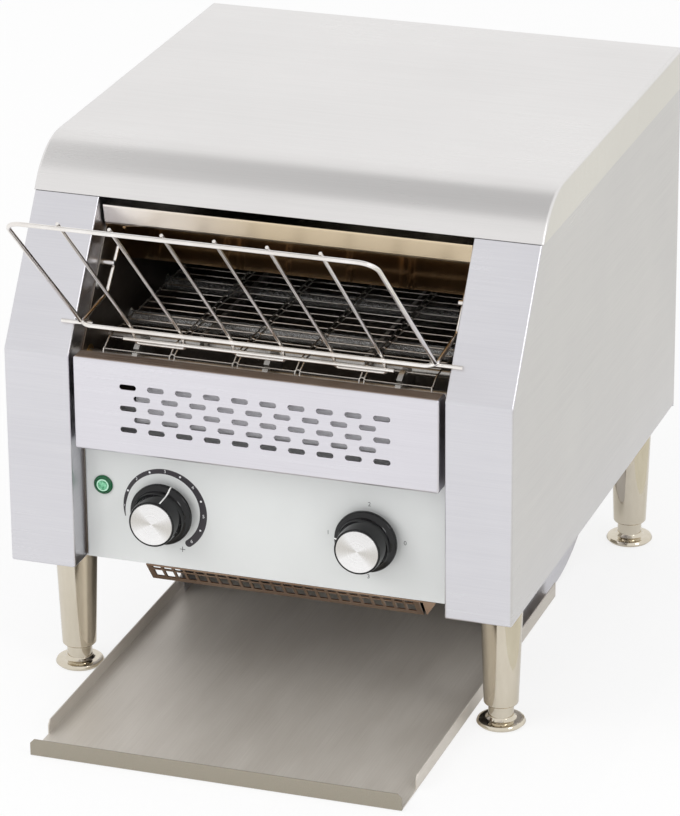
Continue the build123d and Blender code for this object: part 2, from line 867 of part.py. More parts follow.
# Belt rails: two upright strips under the belt's upper run, on two cross bars.
rail_top = belt_top - 2 * belt_wire_r - fit
rail_bottom = shaft_z + tube_r + fit
rail_front = front_shaft_y + rail_inset
rail_rear = rear_shaft_y - rail_inset
rail_bars_y = (rail_front + rail_bar_inset, rail_rear - rail_bar_inset)
rail_bars = [(y, rail_bottom - rail_bar_r) for y in rail_bars_y]
with BuildPart() as belt_rails:
    with BuildSketch(Plane.XY.offset(rail_bottom)):
        with Locations((-rail_x, (rail_front + rail_rear) / 2), (rail_x, (rail_front + rail_rear) / 2)):
            Rectangle(rail_width, rail_rear - rail_front)
    extrude(amount=rail_top - rail_bottom)
    add(across(rail_bar_r, 0, wall_x, rail_bars).part)
finish_piece(belt_rails, "belt_rails")


# Drive chain: inner links with two rollers, and outer link plates beside them.
roller_half = chain_roller_width / 2
with BuildPart() as inner_link:
    add(link_plates(roller_half, roller_half + chain_plate))
    with BuildSketch(Plane.YZ.offset(-roller_half)):
        with Locations((0, 0), (chain_pitch, 0)):
            Circle(chain_roller_r)
    extrude(amount=chain_roller_width)
outer_plates = link_plates(roller_half + chain_plate + play, roller_half + 2 * chain_plate + play)
chain_origin = Location((chain_x, rear_shaft_y, shaft_z), (-90, 0, 0))
with BuildPart() as drive_chain:
    for k, (along, up, angle) in enumerate(loop_places(chain_teeth, chain_straight, chain_pitch)):
        with Locations(chain_origin * Location((0, along, up), (angle, 0, 0))):
            add(outer_plates if k % 2 else inner_link.part)
finish_piece(drive_chain, "drive_chain")


# Chain wheels on the drive shaft and on the motor's shaft.
for name, z, bore in (
    ("drive_chain_wheel", shaft_z, shaft_r),
    ("motor_chain_wheel", motor_z, motor_shaft_r),
):
    wheel = toothed_wheel(
        chain_teeth, chain_r, chain_roller_r + fit, chain_tip, bore + play, chain_roller_width - fit
    )
    with BuildPart() as chain_wheel:
        with Locations((chain_x, rear_shaft_y, z)):
            add(wheel)
    finish_piece(chain_wheel, name)


# Gear motor on its bracket, outside the right chamber wall.
with BuildPart() as motor_bracket_plate:
    with BuildSketch(Plane.YZ.offset(bracket_x)):
        with Locations((rear_shaft_y, motor_z)):
            RectangleRounded(motor_bracket_size, motor_bracket_size, motor_post_r)
            Circle(motor_shaft_r * 2, mode=Mode.SUBTRACT)
    extrude(amount=motor_bracket)
    with BuildSketch(Plane.YZ.offset(column_x)):
        with Locations((rear_shaft_y, motor_z)):
            with GridLocations(
                motor_bracket_size - 2 * motor_post_r, motor_bracket_size - 2 * motor_post_r, 2, 2
            ):
                Circle(motor_post_r)
    extrude(amount=motor_stand)
finish_piece(motor_bracket_plate, "motor_bracket")

with BuildPart() as gear_motor:
    with BuildSketch(Plane.YZ.offset(motor_x)):
        with Locations((rear_shaft_y, motor_z)):
            Circle(motor_r)
    extrude(amount=motor_gearbox)
    with BuildSketch(Plane.YZ.offset(motor_x + motor_gearbox)):
        with Locations((rear_shaft_y, motor_z)):
            Circle(motor_can_r)
    extrude(amount=side_x - 2 * sheet - motor_x - motor_gearbox)
    fillet(gear_motor.faces().sort_by(Axis.X)[-1].edges(), screw_head)
    with BuildSketch(Plane.YZ.offset(motor_x)):
        with Locations((rear_shaft_y, motor_z)):
            Circle(motor_shaft_r + play)
    extrude(amount=motor_shaft_depth, mode=Mode.SUBTRACT)
finish_piece(gear_motor, "gear_motor")

with BuildPart() as motor_shaft:
    with BuildSketch(Plane.YZ.offset(chain_x - chain_roller_width)):
        with Locations((rear_shaft_y, motor_z)):
            Circle(motor_shaft_r)
    extrude(amount=motor_x + motor_shaft_depth - fit - chain_x + chain_roller_width)
finish_piece(motor_shaft, "motor_shaft")


# Output chute: a sheet that curves from the rear panel down to the tray, with two side cheeks.
with BuildPart() as chute_deflector:
    with BuildSketch(Plane.YZ.offset(-chute_half_width + sheet)):
        with BuildLine():
            Line((chute_lip_y, chute_clearance), (chute_tangent_y, chute_clearance))
            CenterArc((chute_tangent_y, chute_z), chute_radius, -90, chute_turn)
            Line((chute_back, chute_bend_z), (chute_back, chute_top))
            offset(amount=sheet, side=Side.LEFT)
        make_face()
    extrude(amount=2 * (chute_half_width - sheet))
finish_piece(chute_deflector, "chute_deflector")

cheek_r = chute_radius - sheet
cheek_back = chute_tangent_y + cheek_r * sin(radians(chute_turn))
cheek_inner = chute_half_width - sheet
cheek_outer = column_x - fit
with BuildPart() as chute_cheeks:
    for side in (-1, 1):
        with BuildSketch(Plane.YZ.offset(low_side(side, cheek_inner, chute_half_width))):
            with BuildLine():
                CenterArc((chute_tangent_y, chute_z), cheek_r, -90, chute_turn)
                Polyline(
                    (chute_tangent_y, chute_z - cheek_r),
                    (cheek_bottom_y, chute_z - cheek_r),
                    (cheek_top_y, base_z),
                    (cheek_back, base_z),
                    (cheek_back, chute_z - cheek_r * cos(radians(chute_turn))),
                )
            make_face()
        extrude(amount=sheet)
        with BuildSketch(Plane.XY.offset(leg_height)):
            with Locations((side * (cheek_inner + cheek_outer) / 2, (cheek_top_y + cheek_back) / 2)):
                Rectangle(cheek_outer - cheek_inner, cheek_back - cheek_top_y)
        extrude(amount=sheet)
finish_piece(chute_cheeks, "chute_cheeks")


# Lower guard: a perforated strip that leans back under the control panel.
guard_slope = atan(guard_lean / guard_drop)
with BuildPart() as lower_guard:
    with BuildSketch(Plane.XY.offset(leg_height)):
        with Locations(((guard_left + guard_right) / 2, guard_y + guard_flange / 2)):
            Rectangle(guard_right - guard_left, guard_flange)
    extrude(amount=sheet)
    guard_length = guard_drop / cos(guard_slope)
    guard_plane = Plane(
        origin=((guard_left + guard_right) / 2, guard_y, leg_height + sheet / 4),
        x_dir=(1, 0, 0),
        z_dir=(0, -cos(guard_slope), -sin(guard_slope)),
    )
    with BuildSketch(guard_plane):
        with Locations((0, -guard_length / 2)):
            Rectangle(guard_right - guard_left, guard_length)
        for row in (0, 1):
            with Locations((0, guard_edge + guard_hole_length / 2 + row * guard_row_pitch - guard_length)):
                with GridLocations(guard_pitch, guard_pitch, guard_holes, 1):
                    Rectangle(guard_hole, guard_hole_length, mode=Mode.SUBTRACT)
    extrude(amount=-sheet)
    with BuildSketch(Plane.XZ.offset(-guard_y)):
        with BuildLine():
            Polyline(
                (guard_right, leg_height + sheet),
                (guard_right + guard_lug + guard_lug_gap, leg_height + sheet),
                (guard_right + guard_lug + guard_lug_gap, leg_height),
                (guard_right + guard_lug_gap + guard_lug / 3, leg_height - guard_lug),
                (guard_right + guard_lug_gap, leg_height),
                (guard_right, leg_height),
                close=True,
            )
        make_face()
    extrude(amount=-sheet)
finish_piece(lower_guard, "lower_guard")


# Collecting tray: slides in from the front under the casing, up to the chute's lip.
with BuildPart() as collecting_tray:
    with BuildSketch(Plane.XY.offset(tray_floor)):
        with Locations((0, (tray_front_y + tray_rear_y) / 2)):
            Rectangle(2 * tray_half_width, tray_rear_y - tray_front_y)
    extrude(amount=tray_sheet)
    with BuildSketch(Plane.XZ.offset(-tray_front_y - tray_sheet)):
        with BuildLine():
            Polyline(
                (-tray_half_width, tray_floor),
                (-tray_half_width, tray_lip - tray_corner),
                (-tray_half_width + tray_corner, tray_lip),
                (tray_half_width - tray_corner, tray_lip),
                (tray_half_width, tray_lip - tray_corner),
                (tray_half_width, tray_floor),
                close=True,
            )
        make_face()
    extrude(amount=tray_sheet)
    for side in (-1, 1):
        with BuildSketch(Plane.YZ.offset(low_side(side, tray_half_width - tray_sheet, tray_half_width))):
            with BuildLine():
                Polyline(
                    (tray_front_y + tray_wall_gap, tray_floor),
                    (tray_front_y + tray_wall_gap, tray_wall - tray_corner),
                    (tray_front_y + tray_wall_gap + tray_corner, tray_wall),
                    (tray_rear_y, tray_wall),
                    (tray_rear_y, tray_floor),
                    close=True,
                )
            make_face()
        extrude(amount=tray_sheet)
finish_piece(collecting_tray, "collecting_tray")


# Bread rack: a leaning wire frame, a foot wire that bends back into two legs, three pairs of
# bars, each bent from one wire, a heel wire and two pivot pins on the leaning column faces.
rack_run = Edge.make_line((0, rack_foot_y, rack_foot_z), (0, rack_top_y, rack_top_z))
rack_along = rack_run % 0
rack_back = Vector(0, rack_along.Z, -rack_along.Y)
rack_top_point = Vector(0, rack_top_y, rack_top_z)
rack_frame_foot = Vector(0, rack_foot_y + rack_wire_r, rack_foot_z + rack_foot_rise)
right = Vector(rack_half_width, 0, 0)
rack_frame = wire(
    [rack_frame_foot - right, rack_top_point - right, rack_top_point + right, rack_frame_foot + right],
    rack_wire_r,
    rack_corner_r,
)
finish_piece(rack_frame, "rack_frame")

rack_foot = Vector(0, rack_foot_y, rack_foot_z)
rack_knee = Vector(0, rack_knee_y, rack_knee_z)
rack_end = Vector(0, rack_end_y, rack_end_z)
leg_points = [rack_end, rack_knee, rack_foot]
rack_legs = wire(
    [*[point - right for point in leg_points], *[point + right for point in reversed(leg_points)]],
    rack_wire_r,
    rack_foot_corner_r,
)
finish_piece(rack_legs, "rack_legs")

bar_gap = rack_wire_r + rack_bar_r + play
bar_tip = rack_top_point + rack_back * bar_gap + rack_along * rack_tip
heel_lean = radians(rack_heel_lean)
heel_down = Vector(0, sin(heel_lean), -cos(heel_lean))
heel_back = Vector(0, cos(heel_lean), sin(heel_lean))
bar_bend = rack_foot + (rack_back + heel_back) * (bar_gap / (1 + rack_back.dot(heel_back)))
bar_points = [bar_tip, bar_bend, bar_bend + heel_down * rack_heel_drop]
heel = bar_bend + heel_down * rack_heel_place - heel_back * (rack_bar_r + rack_heel_r + play)
half_pitch = Vector(rack_bar_pitch / 2, 0, 0)
one_pair = wire(
    [*[point - half_pitch for point in bar_points], *[point + half_pitch for point in reversed(bar_points)]],
    rack_bar_r,
    2 * rack_bar_r,
)
with BuildPart() as rack_bars:
    with GridLocations(2 * rack_bar_pitch, rack_bar_pitch, rack_pairs, 1):
        add(one_pair.part)
    add(across(rack_heel_r, 0, rack_heel_half, [(heel.Y, heel.Z)]).part)
finish_piece(rack_bars, "rack_bars")

leg_rise = (rack_knee_z - rack_foot_z) / (rack_knee_y - rack_foot_y)
pin_drop = rack_wire_r + pivot_r + play
pin_base_z = rack_foot_z - pin_drop - leg_rise * rack_foot_y
pivot_y = (pivot_r + fit - front_y * sin(slope) - (pin_base_z - slope_foot) * cos(slope)) / (
    leg_rise * cos(slope) - sin(slope)
)
pivot_z = pin_base_z + leg_rise * pivot_y
with BuildPart() as rack_pivot_pins:
    for side in (-1, 1):
        with BuildSketch(Plane.YZ.offset(low_side(side, pivot_inner, pivot_outer))):
            with Locations((pivot_y, pivot_z)):
                Circle(pivot_r)
        extrude(amount=pivot_outer - pivot_inner)
finish_piece(rack_pivot_pins, "rack_pivot_pins")

with BuildPart() as rack_stop_pins:
    for side in (-1, 1):
        with BuildSketch(Plane.YZ.offset(low_side(side, wall_x - stop_pin_reach, column_x))):
            with Locations(stop_place):
                Circle(stop_pin_r)
        extrude(amount=stop_pin_reach + sheet)
finish_piece(rack_stop_pins, "rack_stop_pins")


# Knobs: a skirt, a tapered grip and a recess for the metal cap, around a spindle.
knob_shape = turned(
    [
        (spindle_r + play, knob_lift),
        (knob_skirt_r, knob_lift),
        (knob_skirt_r, knob_skirt - knob_edge / 2),
        (knob_skirt_r - knob_edge, knob_skirt),
        (knob_grip_r, knob_skirt + knob_edge / 2),
        (knob_top_r, knob_length - knob_edge / 2),
        (knob_top_r - knob_edge / 2, knob_length),
        (knob_cap_r + play, knob_length),
        (knob_cap_r + play, knob_length - knob_cap),
        (0, knob_length - knob_cap),
        (0, spindle_in_knob + play),
        (spindle_r + play, spindle_in_knob + play),
    ]
)
for name, side in (("speed", -1), ("mode", 1)):
    knob_plane = Plane(origin=(side * knob_x, panel_y, knob_z), x_dir=(1, 0, 0), z_dir=(0, -1, 0))
    with BuildPart() as knob:
        with Locations(knob_plane.location):
            add(knob_shape)
    finish_piece(knob, f"{name}_knob")
    with BuildPart() as knob_cap_disc:
        with BuildSketch(knob_plane.offset(knob_length - knob_cap)):
            Circle(knob_cap_r)
        extrude(amount=knob_cap)
    finish_piece(knob_cap_disc, f"{name}_knob_cap")
    with BuildPart() as spindle:
        with BuildSketch(knob_plane.offset(spindle_in_knob)):
            Circle(spindle_r)
        extrude(amount=-spindle_in_knob - sheet - spindle_behind)
    finish_piece(spindle, f"{name}_spindle")


# Speed potentiometer and mode switch behind the panel, each with a hole for its spindle.
back_plane = Plane(origin=(0, panel_back, 0), x_dir=(1, 0, 0), z_dir=(0, -1, 0))
with BuildPart() as speed_potentiometer:
    with BuildSketch(back_plane):
        with Locations((-knob_x, knob_z)):
            Circle(potentiometer_r)
    extrude(amount=-potentiometer_depth)
    with BuildSketch(back_plane):
        with Locations((-knob_x, knob_z)):
            Circle(spindle_r + play)
    extrude(amount=-spindle_behind - fit, mode=Mode.SUBTRACT)
finish_piece(speed_potentiometer, "speed_potentiometer")

with BuildPart() as mode_switch:
    with BuildSketch(back_plane):
        with Locations((knob_x, knob_z)):
            RectangleRounded(switch_size, switch_size, knob_edge)
    extrude(amount=-switch_depth)
    with BuildSketch(back_plane):
        with Locations((knob_x, knob_z)):
            Circle(spindle_r + play)
    extrude(amount=-spindle_behind - fit, mode=Mode.SUBTRACT)
finish_piece(mode_switch, "mode_switch")


# Pilot lamp: a bezel with its barrel through the panel, and a domed lens.
lamp_plane = Plane(origin=(lamp_x, panel_y, lamp_z), x_dir=(1, 0, 0), z_dir=(0, -1, 0))
lamp_shape = turned(
    [
        (0, -lamp_depth),
        (lamp_barrel_r, -lamp_depth),
        (lamp_barrel_r, 0),
        (lamp_r, 0),
        (lamp_r, lamp_flange / 2),
        (lamp_r - lamp_flange / 2, lamp_flange),
        (lamp_lens_r + play, lamp_flange),
        (lamp_lens_r + play, -lamp_lens),
        (0, -lamp_lens),
    ]
)
with BuildPart() as lamp_bezel:
    with Locations(lamp_plane.location):
        add(lamp_shape)
finish_piece(lamp_bezel, "lamp_bezel")
with BuildPart() as lamp_lens_body:
    with BuildSketch(lamp_plane.offset(-lamp_lens)):
        Circle(lamp_lens_r)
    extrude(amount=lamp_lens + lamp_flange)
    fillet(lamp_lens_body.faces().sort_by(Axis.Y)[0].edges(), lamp_flange / 2)
finish_piece(lamp_lens_body, "lamp_lens")


# Electrical parts in the left side space: terminal block, speed control board and cable gland.
with BuildPart() as terminal_block:
    with BuildSketch(Plane.XY.offset(base_z)):
        with Locations((-leg_x, terminal_y)):
            Rectangle(terminal_size[0], terminal_size[1])
    extrude(amount=terminal_size[2])
    with BuildSketch(Plane.XY.offset(base_z + terminal_size[2])):
        with Locations((-leg_x, terminal_y)):
            with GridLocations(terminal_size[0] / 2, terminal_size[1] / 4, 2, 4):
                Circle(screw_r)
    extrude(amount=-terminal_size[2] / 2, mode=Mode.SUBTRACT)
finish_piece(terminal_block, "terminal_block")

board_x = -side_x + sheet + board_stand
with BuildPart() as speed_control_board:
    with BuildSketch(Plane.YZ.offset(board_x)):
        with Locations((board_y, board_z)):
            Rectangle(*board_size)
    extrude(amount=board_thickness)
    with BuildSketch(Plane.YZ.offset(-side_x + sheet)):
        with Locations((board_y, board_z)):
            with GridLocations(board_size[0] - 4 * board_post_r, board_size[1] - 4 * board_post_r, 2, 2):
                Circle(board_post_r)
    extrude(amount=board_stand)
    with BuildSketch(Plane.YZ.offset(board_x + board_thickness)):
        with Locations((board_y, board_z)):
            Rectangle(board_size[0] / 3, board_size[1] / 3)
    extrude(amount=board_stand)
finish_piece(speed_control_board, "speed_control_board")

with BuildPart() as cable_gland:
    gland_plane = Plane(origin=(cable_x, body_rear, cable_z), x_dir=(1, 0, 0), z_dir=(0, 1, 0))
    with BuildSketch(gland_plane):
        RegularPolygon(gland_nut_r, 6)
    extrude(amount=gland_nut)
    with BuildSketch(gland_plane):
        Circle(gland_r)
    extrude(amount=2 * gland_nut)
    with BuildSketch(gland_plane):
        Circle(gland_r)
    extrude(amount=-sheet)
    with BuildSketch(gland_plane.offset(-sheet)):
        Circle(gland_nut_r)
    extrude(amount=-gland_nut)
    with BuildSketch(gland_plane.offset(2 * gland_nut)):
        Circle(gland_bore_r)
    extrude(amount=-4 * gland_nut, mode=Mode.SUBTRACT)
finish_piece(cable_gland, "cable_gland")


# Legs: tapered tubes with a stud on top and a threaded bore for the adjustable foot.
leg_shape = turned(
    [
        (leg_stud_r + play, leg_bottom),
        (leg_bottom_r - leg_edge, leg_bottom),
        (leg_bottom_r, leg_bottom + leg_edge),
        (leg_top_r, leg_height),
        (leg_stud_r, leg_height),
        (leg_stud_r, leg_height + leg_stud),
        (0, leg_height + leg_stud),
        (0, leg_bottom + leg_bore),
        (leg_stud_r + play, leg_bottom + leg_bore),
    ]
)
foot_shape = turned(
    [
        (0, 0),
        (foot_r - foot_edge, 0),
        (foot_r, foot_edge),
        (foot_r - foot_edge / 2, foot_height - foot_edge / 2),
        (foot_r - 2 * foot_edge, foot_height),
        (foot_neck_r + foot_edge, foot_height),
        (foot_neck_r, foot_height + foot_edge),
        (foot_neck_r, leg_bottom - fit),
        (leg_stud_r, leg_bottom - fit),
        (leg_stud_r, leg_bottom + foot_thread),
        (0, leg_bottom + foot_thread),
    ]
)
leg_places = {
    "front_left": (-leg_x, leg_front_y),
    "front_right": (leg_x, leg_front_y),
    "rear_left": (-leg_x, leg_rear_y),
    "rear_right": (leg_x, leg_rear_y),
}
with BuildPart() as legs:
    with Locations(*[(x, y, 0) for x, y in leg_places.values()]):
        add(leg_shape)
finish_piece(legs, "legs")
for place_name, (x, y) in leg_places.items():
    with BuildPart() as foot:
        with Locations((x, y, 0)):
            add(foot_shape)
    finish_piece(foot, f"{place_name}_foot")

with BuildPart() as leg_nuts:
    with BuildSketch(Plane.XY.offset(base_z)):
        with Locations(*leg_places.values()):
            RegularPolygon(leg_nut_r, 6)
            Circle(leg_stud_r + play, mode=Mode.SUBTRACT)
    extrude(amount=leg_nut)
finish_piece(leg_nuts, "leg_nuts")


# Pan-head screws of the cover, the rear panel, the chamber walls and the base plate
casing_screws = [*cover_screws, *rear_screws, *wall_screws, *base_screws]
finish_piece(screw_group(casing_screws, 2 * sheet), "casing_screws")

# Shouldered screws hold the front cover's folded sides a little way off the chamber walls.
with BuildPart() as front_cover_screws:
    for side in (-1, 1):
        for inner, outer, radius in (
            (front_cover_half - sheet - screw_head, front_cover_half - sheet, screw_head_r),
            (front_cover_half - sheet, column_x, screw_r),
            (front_cover_half, wall_x, screw_head_r),
        ):
            with BuildSketch(Plane.YZ.offset(low_side(side, inner, outer))):
                with Locations(cover_side_screw):
                    Circle(radius)
            extrude(amount=outer - inner)
finish_piece(front_cover_screws, "front_cover_screws")
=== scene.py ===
import json
from math import cos, pi, radians, sin

import bmesh
import bpy
from mathutils import Matrix, Vector

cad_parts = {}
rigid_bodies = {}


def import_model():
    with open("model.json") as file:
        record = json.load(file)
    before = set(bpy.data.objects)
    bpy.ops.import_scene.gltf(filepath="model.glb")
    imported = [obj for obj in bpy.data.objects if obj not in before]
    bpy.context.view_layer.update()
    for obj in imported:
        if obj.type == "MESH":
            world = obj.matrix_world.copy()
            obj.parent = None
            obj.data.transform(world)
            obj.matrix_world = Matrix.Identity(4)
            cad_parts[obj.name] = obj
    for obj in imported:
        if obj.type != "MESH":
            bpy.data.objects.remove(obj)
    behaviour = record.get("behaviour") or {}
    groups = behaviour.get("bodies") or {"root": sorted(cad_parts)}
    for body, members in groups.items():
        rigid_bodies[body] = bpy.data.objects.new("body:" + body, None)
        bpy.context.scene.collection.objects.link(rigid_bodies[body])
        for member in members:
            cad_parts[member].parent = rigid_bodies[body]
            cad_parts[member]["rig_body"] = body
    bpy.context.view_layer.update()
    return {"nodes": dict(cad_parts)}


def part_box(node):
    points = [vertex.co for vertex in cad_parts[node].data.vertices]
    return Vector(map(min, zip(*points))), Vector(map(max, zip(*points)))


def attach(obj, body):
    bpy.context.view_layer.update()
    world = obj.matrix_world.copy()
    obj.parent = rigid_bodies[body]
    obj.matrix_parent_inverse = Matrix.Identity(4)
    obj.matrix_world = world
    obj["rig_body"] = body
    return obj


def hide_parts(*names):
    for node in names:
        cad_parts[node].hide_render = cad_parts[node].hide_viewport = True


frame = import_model()


# Top cover: one ground stainless sheet, rolled down over the front and folded down at the sides
# and at the rear. It hooks over the side panels and is screwed to the rear panel.
mm = 0.001
sheet = 1.2 * mm


def tint(code):
    """Linear colour of an sRGB hex code."""
    parts = [int(code[k : k + 2], 16) / 255 for k in (0, 2, 4)]
    return (*[p / 12.92 if p <= 0.04045 else ((p + 0.055) / 1.055) ** 2.4 for p in parts], 1.0)


class Shade:
    """One output of a node; arithmetic on it adds Math nodes."""

    def __init__(self, nodes, socket):
        self.nodes = nodes
        self.socket = socket

    def __add__(self, other):
        return self.nodes.math("ADD", self, other)

    def __sub__(self, other):
        return self.nodes.math("SUBTRACT", self, other)

    def __rsub__(self, other):
        return self.nodes.math("SUBTRACT", other, self)

    def __mul__(self, other):
        return self.nodes.math("MULTIPLY", self, other)

    def __gt__(self, other):
        return self.nodes.math("GREATER_THAN", self, other)

    def __lt__(self, other):
        return self.nodes.math("LESS_THAN", self, other)

    def __abs__(self):
        return self.nodes.math("ABSOLUTE", self)

    __radd__ = __add__
    __rmul__ = __mul__


class Nodes:
    """A node tree that is filled by one method."""

    def __init__(self, tree):
        self.tree = tree

    def node(self, kind, settings=None, inputs=None, output=0):
        """One output of a new node; its settings come before the values or links of its sockets."""
        made = self.tree.nodes.new(kind)
        for name, value in (settings or {}).items():
            setattr(made, name, value)
        for name, value in (inputs or {}).items():
            if isinstance(value, Shade):
                self.tree.links.new(value.socket, made.inputs[name])
            else:
                made.inputs[name].default_value = value
        if made.outputs:
            return Shade(self, made.outputs[output])

    def math(self, operation, *values):
        return self.node("ShaderNodeMath", {"operation": operation}, dict(enumerate(values)))


class Finish(Nodes):
    """A material around one Principled BSDF; what changes over the surface is fed by name."""

    def __init__(self, name, **constants):
        self.material = bpy.data.materials.new(name)
        self.material.use_nodes = True
        super().__init__(self.material.node_tree)
        self.surface = self.tree.nodes["Principled BSDF"]
        self.at = self.node("ShaderNodeTexCoord", output="Object")
        for label, value in constants.items():
            self.surface.inputs[label.replace("_", " ")].default_value = value

    def feed(self, label, value):
        self.tree.links.new(value.socket, self.surface.inputs[label])

    def part(self, vector, axis):
        """One coordinate of a vector."""
        return self.node("ShaderNodeSeparateXYZ", inputs={0: vector}, output=axis)

    def noise(self, grains, detail=2.0, roughness=0.55):
        """Noise between 0 and 1; grains in a metre, as one number or along X, Y and Z."""
        rates = (grains, grains, grains) if isinstance(grains, float) else grains
        scaled = self.node("ShaderNodeVectorMath", {"operation": "MULTIPLY"}, {0: self.at, 1: rates})
        return self.node(
            "ShaderNodeTexNoise",
            inputs={"Vector": scaled, "Scale": 1.0, "Detail": detail, "Roughness": roughness},
        )

    def blend(self, share, first, second):
        """Colour between two colours."""
        return self.node(
            "ShaderNodeMix", {"data_type": "RGBA"}, {0: share, 6: first, 7: second}, output=2
        )

    def level(self, value, low, high, to_low=0.0, to_high=1.0):
        """Value mapped from one range to another, and kept inside it."""
        return self.node(
            "ShaderNodeMapRange", inputs={0: value, 1: low, 2: high, 3: to_low, 4: to_high}
        )

    def tinted(self, mix, dark, light, low=0.35, high=0.65):
        """Colour between two hex codes, over the range where most of a noise lies."""
        return self.blend(self.level(mix, low, high), tint(dark), tint(light))

    def roughen(self, mix, start, end):
        """Feeds Roughness, from start to end over the range where most of a noise lies."""
        self.feed("Roughness", self.level(mix, 0.3, 0.7, start, end))

    def relief(self, height, depth, strength=1.0):
        """Feeds Normal with a bump whose full height is depth, in metres."""
        bump = self.node(
            "ShaderNodeBump", inputs={"Strength": strength, "Distance": depth, "Height": height}
        )
        self.feed("Normal", bump)


crosswise = (16.0, 1500.0, 1500.0)
lengthwise = (1500.0, 16.0, 1500.0)
level_round = (16.0, 16.0, 1500.0)
streak_width = 9
wear_grains = 7.0
scratch_depth = 0.004 * mm


def ground_steel(name, light, dark, grain=crosswise, roughness=0.3, metallic=1.0):
    """Stainless sheet ground in one direction: long fine scratches along the grain."""
    finish = Finish(name, Metallic=metallic)
    scratches = finish.noise(grain, 4.0, 0.7)
    streaks = finish.noise([rate / streak_width for rate in grain])
    worn = finish.noise(wear_grains, 3.0)
    mix = scratches * 0.5 + streaks * 0.15 + worn * 0.35
    finish.feed("Base Color", finish.tinted(mix, dark, light))
    finish.roughen(scratches * 0.5 + worn * 0.5, roughness + 0.05, roughness - 0.05)
    finish.relief(scratches, scratch_depth, 0.5)
    return finish.material


def placed(name, data):
    """Object in the scene, at the origin."""
    piece = bpy.data.objects.new(name, data)
    bpy.context.scene.collection.objects.link(piece)
    return piece


def smoothed(mesh, crease):
    """Smooth shading, but for edges sharper than crease, in degrees."""
    for face in mesh.polygons:
        face.use_smooth = True
    mesh.set_sharp_from_angle(angle=radians(crease))


def edge_width(face):
    """Width of a long thin face."""
    return 2 * face.calc_area() / face.calc_perimeter()


same_place = 2e-6
flat_angle = radians(0.6)
bend_angle = radians(24)
bend_crease = 32
widest_cut = 2.4 * mm
bend_steps = 3


def dressed(node, material, fold=0.0, trim=0.3 * mm):
    """Stands for a node with its own shape: the loose triangles are merged, folds of the sheet get
    the radius of their bend and cut edges are broken by trim."""
    cad = frame["nodes"][node]
    shape = bmesh.new()
    shape.from_mesh(cad.data)
    bmesh.ops.remove_doubles(shape, verts=shape.verts, dist=same_place)
    bmesh.ops.dissolve_limit(shape, angle_limit=flat_angle, verts=shape.verts, edges=shape.edges)
    rounded = shape.edges.layers.float.new("bevel_weight_edge")
    widest = max(fold, trim)
    for edge in shape.edges:
        if len(edge.link_faces) != 2 or edge.calc_face_angle() < bend_angle:
            continue
        if fold and min(edge_width(face) for face in edge.link_faces) > widest_cut:
            edge[rounded] = (fold if edge.is_convex else fold - sheet) / widest
        elif trim:
            edge[rounded] = trim / widest
    mesh = bpy.data.meshes.new(node + "_shape")
    shape.to_mesh(mesh)
    shape.free()
    smoothed(mesh, bend_crease)
    mesh.materials.append(material)
    piece = placed(node + "_shape", mesh)
    if widest:
        bevel = piece.modifiers.new("folds", "BEVEL")
        bevel.limit_method = "WEIGHT"
        bevel.width = widest
        bevel.segments = bend_steps
        bevel.use_clamp_overlap = False
        bevel.loop_slide = False
        even = piece.modifiers.new("flats", "WEIGHTED_NORMAL")
        even.keep_sharp = True
        even.weight = 100
    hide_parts(node)
    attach(piece, cad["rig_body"])
    return piece


def finished(material, *nodes):
    """CAD nodes that keep their shape and get this finish."""
    for node in nodes:
        for place in frame["nodes"][node].material_slots:
            place.material = material


cover_steel = ground_steel("cover_steel", "e6e4e3", "dfdddc")
dressed("top_cover", cover_steel, fold=2.0 * mm)


# Side panels: each is folded from one sheet into the side wall, the front column with its leaning
# face, the return behind it, the rear flange and the closed bottom.
# The cover's steel painted darker and bluer: painted shade and a painted cool cast of the upright faces.
side_steel = ground_steel("side_steel", "dbdade", "d2d1d6", level_round)
for side in ("left", "right"):
    dressed(f"{side}_side_panel", side_steel, fold=1.4 * mm)


# Rear panel and base plate: flat ground sheets, screwed to the flanges of the side panels.
# Neither is folded, so their cut edges are only broken.
dressed("rear_panel", side_steel)
dressed("base_plate", side_steel)


# Front cover: a ground sheet with five staggered rows of slots, its sides, lip and foot folded
# back, and the plain heat shield that stands on two posts behind it. Its sheet is painted darker and
# bluer than the top cover's, painted shade and a painted cool cast of the upright face, and the top
# of its lip is painted brown with blotches, a painted reflection of the chamber behind it.
front = Finish("front_steel")
scratches = front.noise(crosswise, 4.0, 0.7)
worn = front.noise(wear_grains, 3.0)
lip_reflection_blotches = front.noise((60.0, 160.0, 60.0), 3.0)
# The sheet's tone is painted darker and bluer than the top cover: painted shade and a painted cool cast.
plain = front.tinted(scratches * 0.6 + worn * 0.4, "d8d6dc", "e0dee4")
# The top of the lip is painted brown with blotches: a painted reflection of the chamber behind it.
painted_lip_reflection = front.blend(lip_reflection_blotches, tint("806b5c"), tint("a5968a"))
reflection_low, reflection_high = 261.4 * mm, 261.9 * mm
painted_lip = front.level(front.part(front.at, "Z"), reflection_low, reflection_high)
front.feed("Base Color", front.blend(painted_lip, plain, painted_lip_reflection))
front.feed("Metallic", front.level(painted_lip, 0.0, 1.0, 1.0, 0.55))
front.roughen(scratches * 0.5 + worn * 0.5, 0.35, 0.25)
front.relief(scratches, scratch_depth, 0.5)
dressed("front_cover", front.material, fold=1.8 * mm)
shield_steel = ground_steel("shield_steel", "f0eff2", "e2e1e4", crosswise, 0.5, 0.2)
dressed("inner_heat_shield", shield_steel)


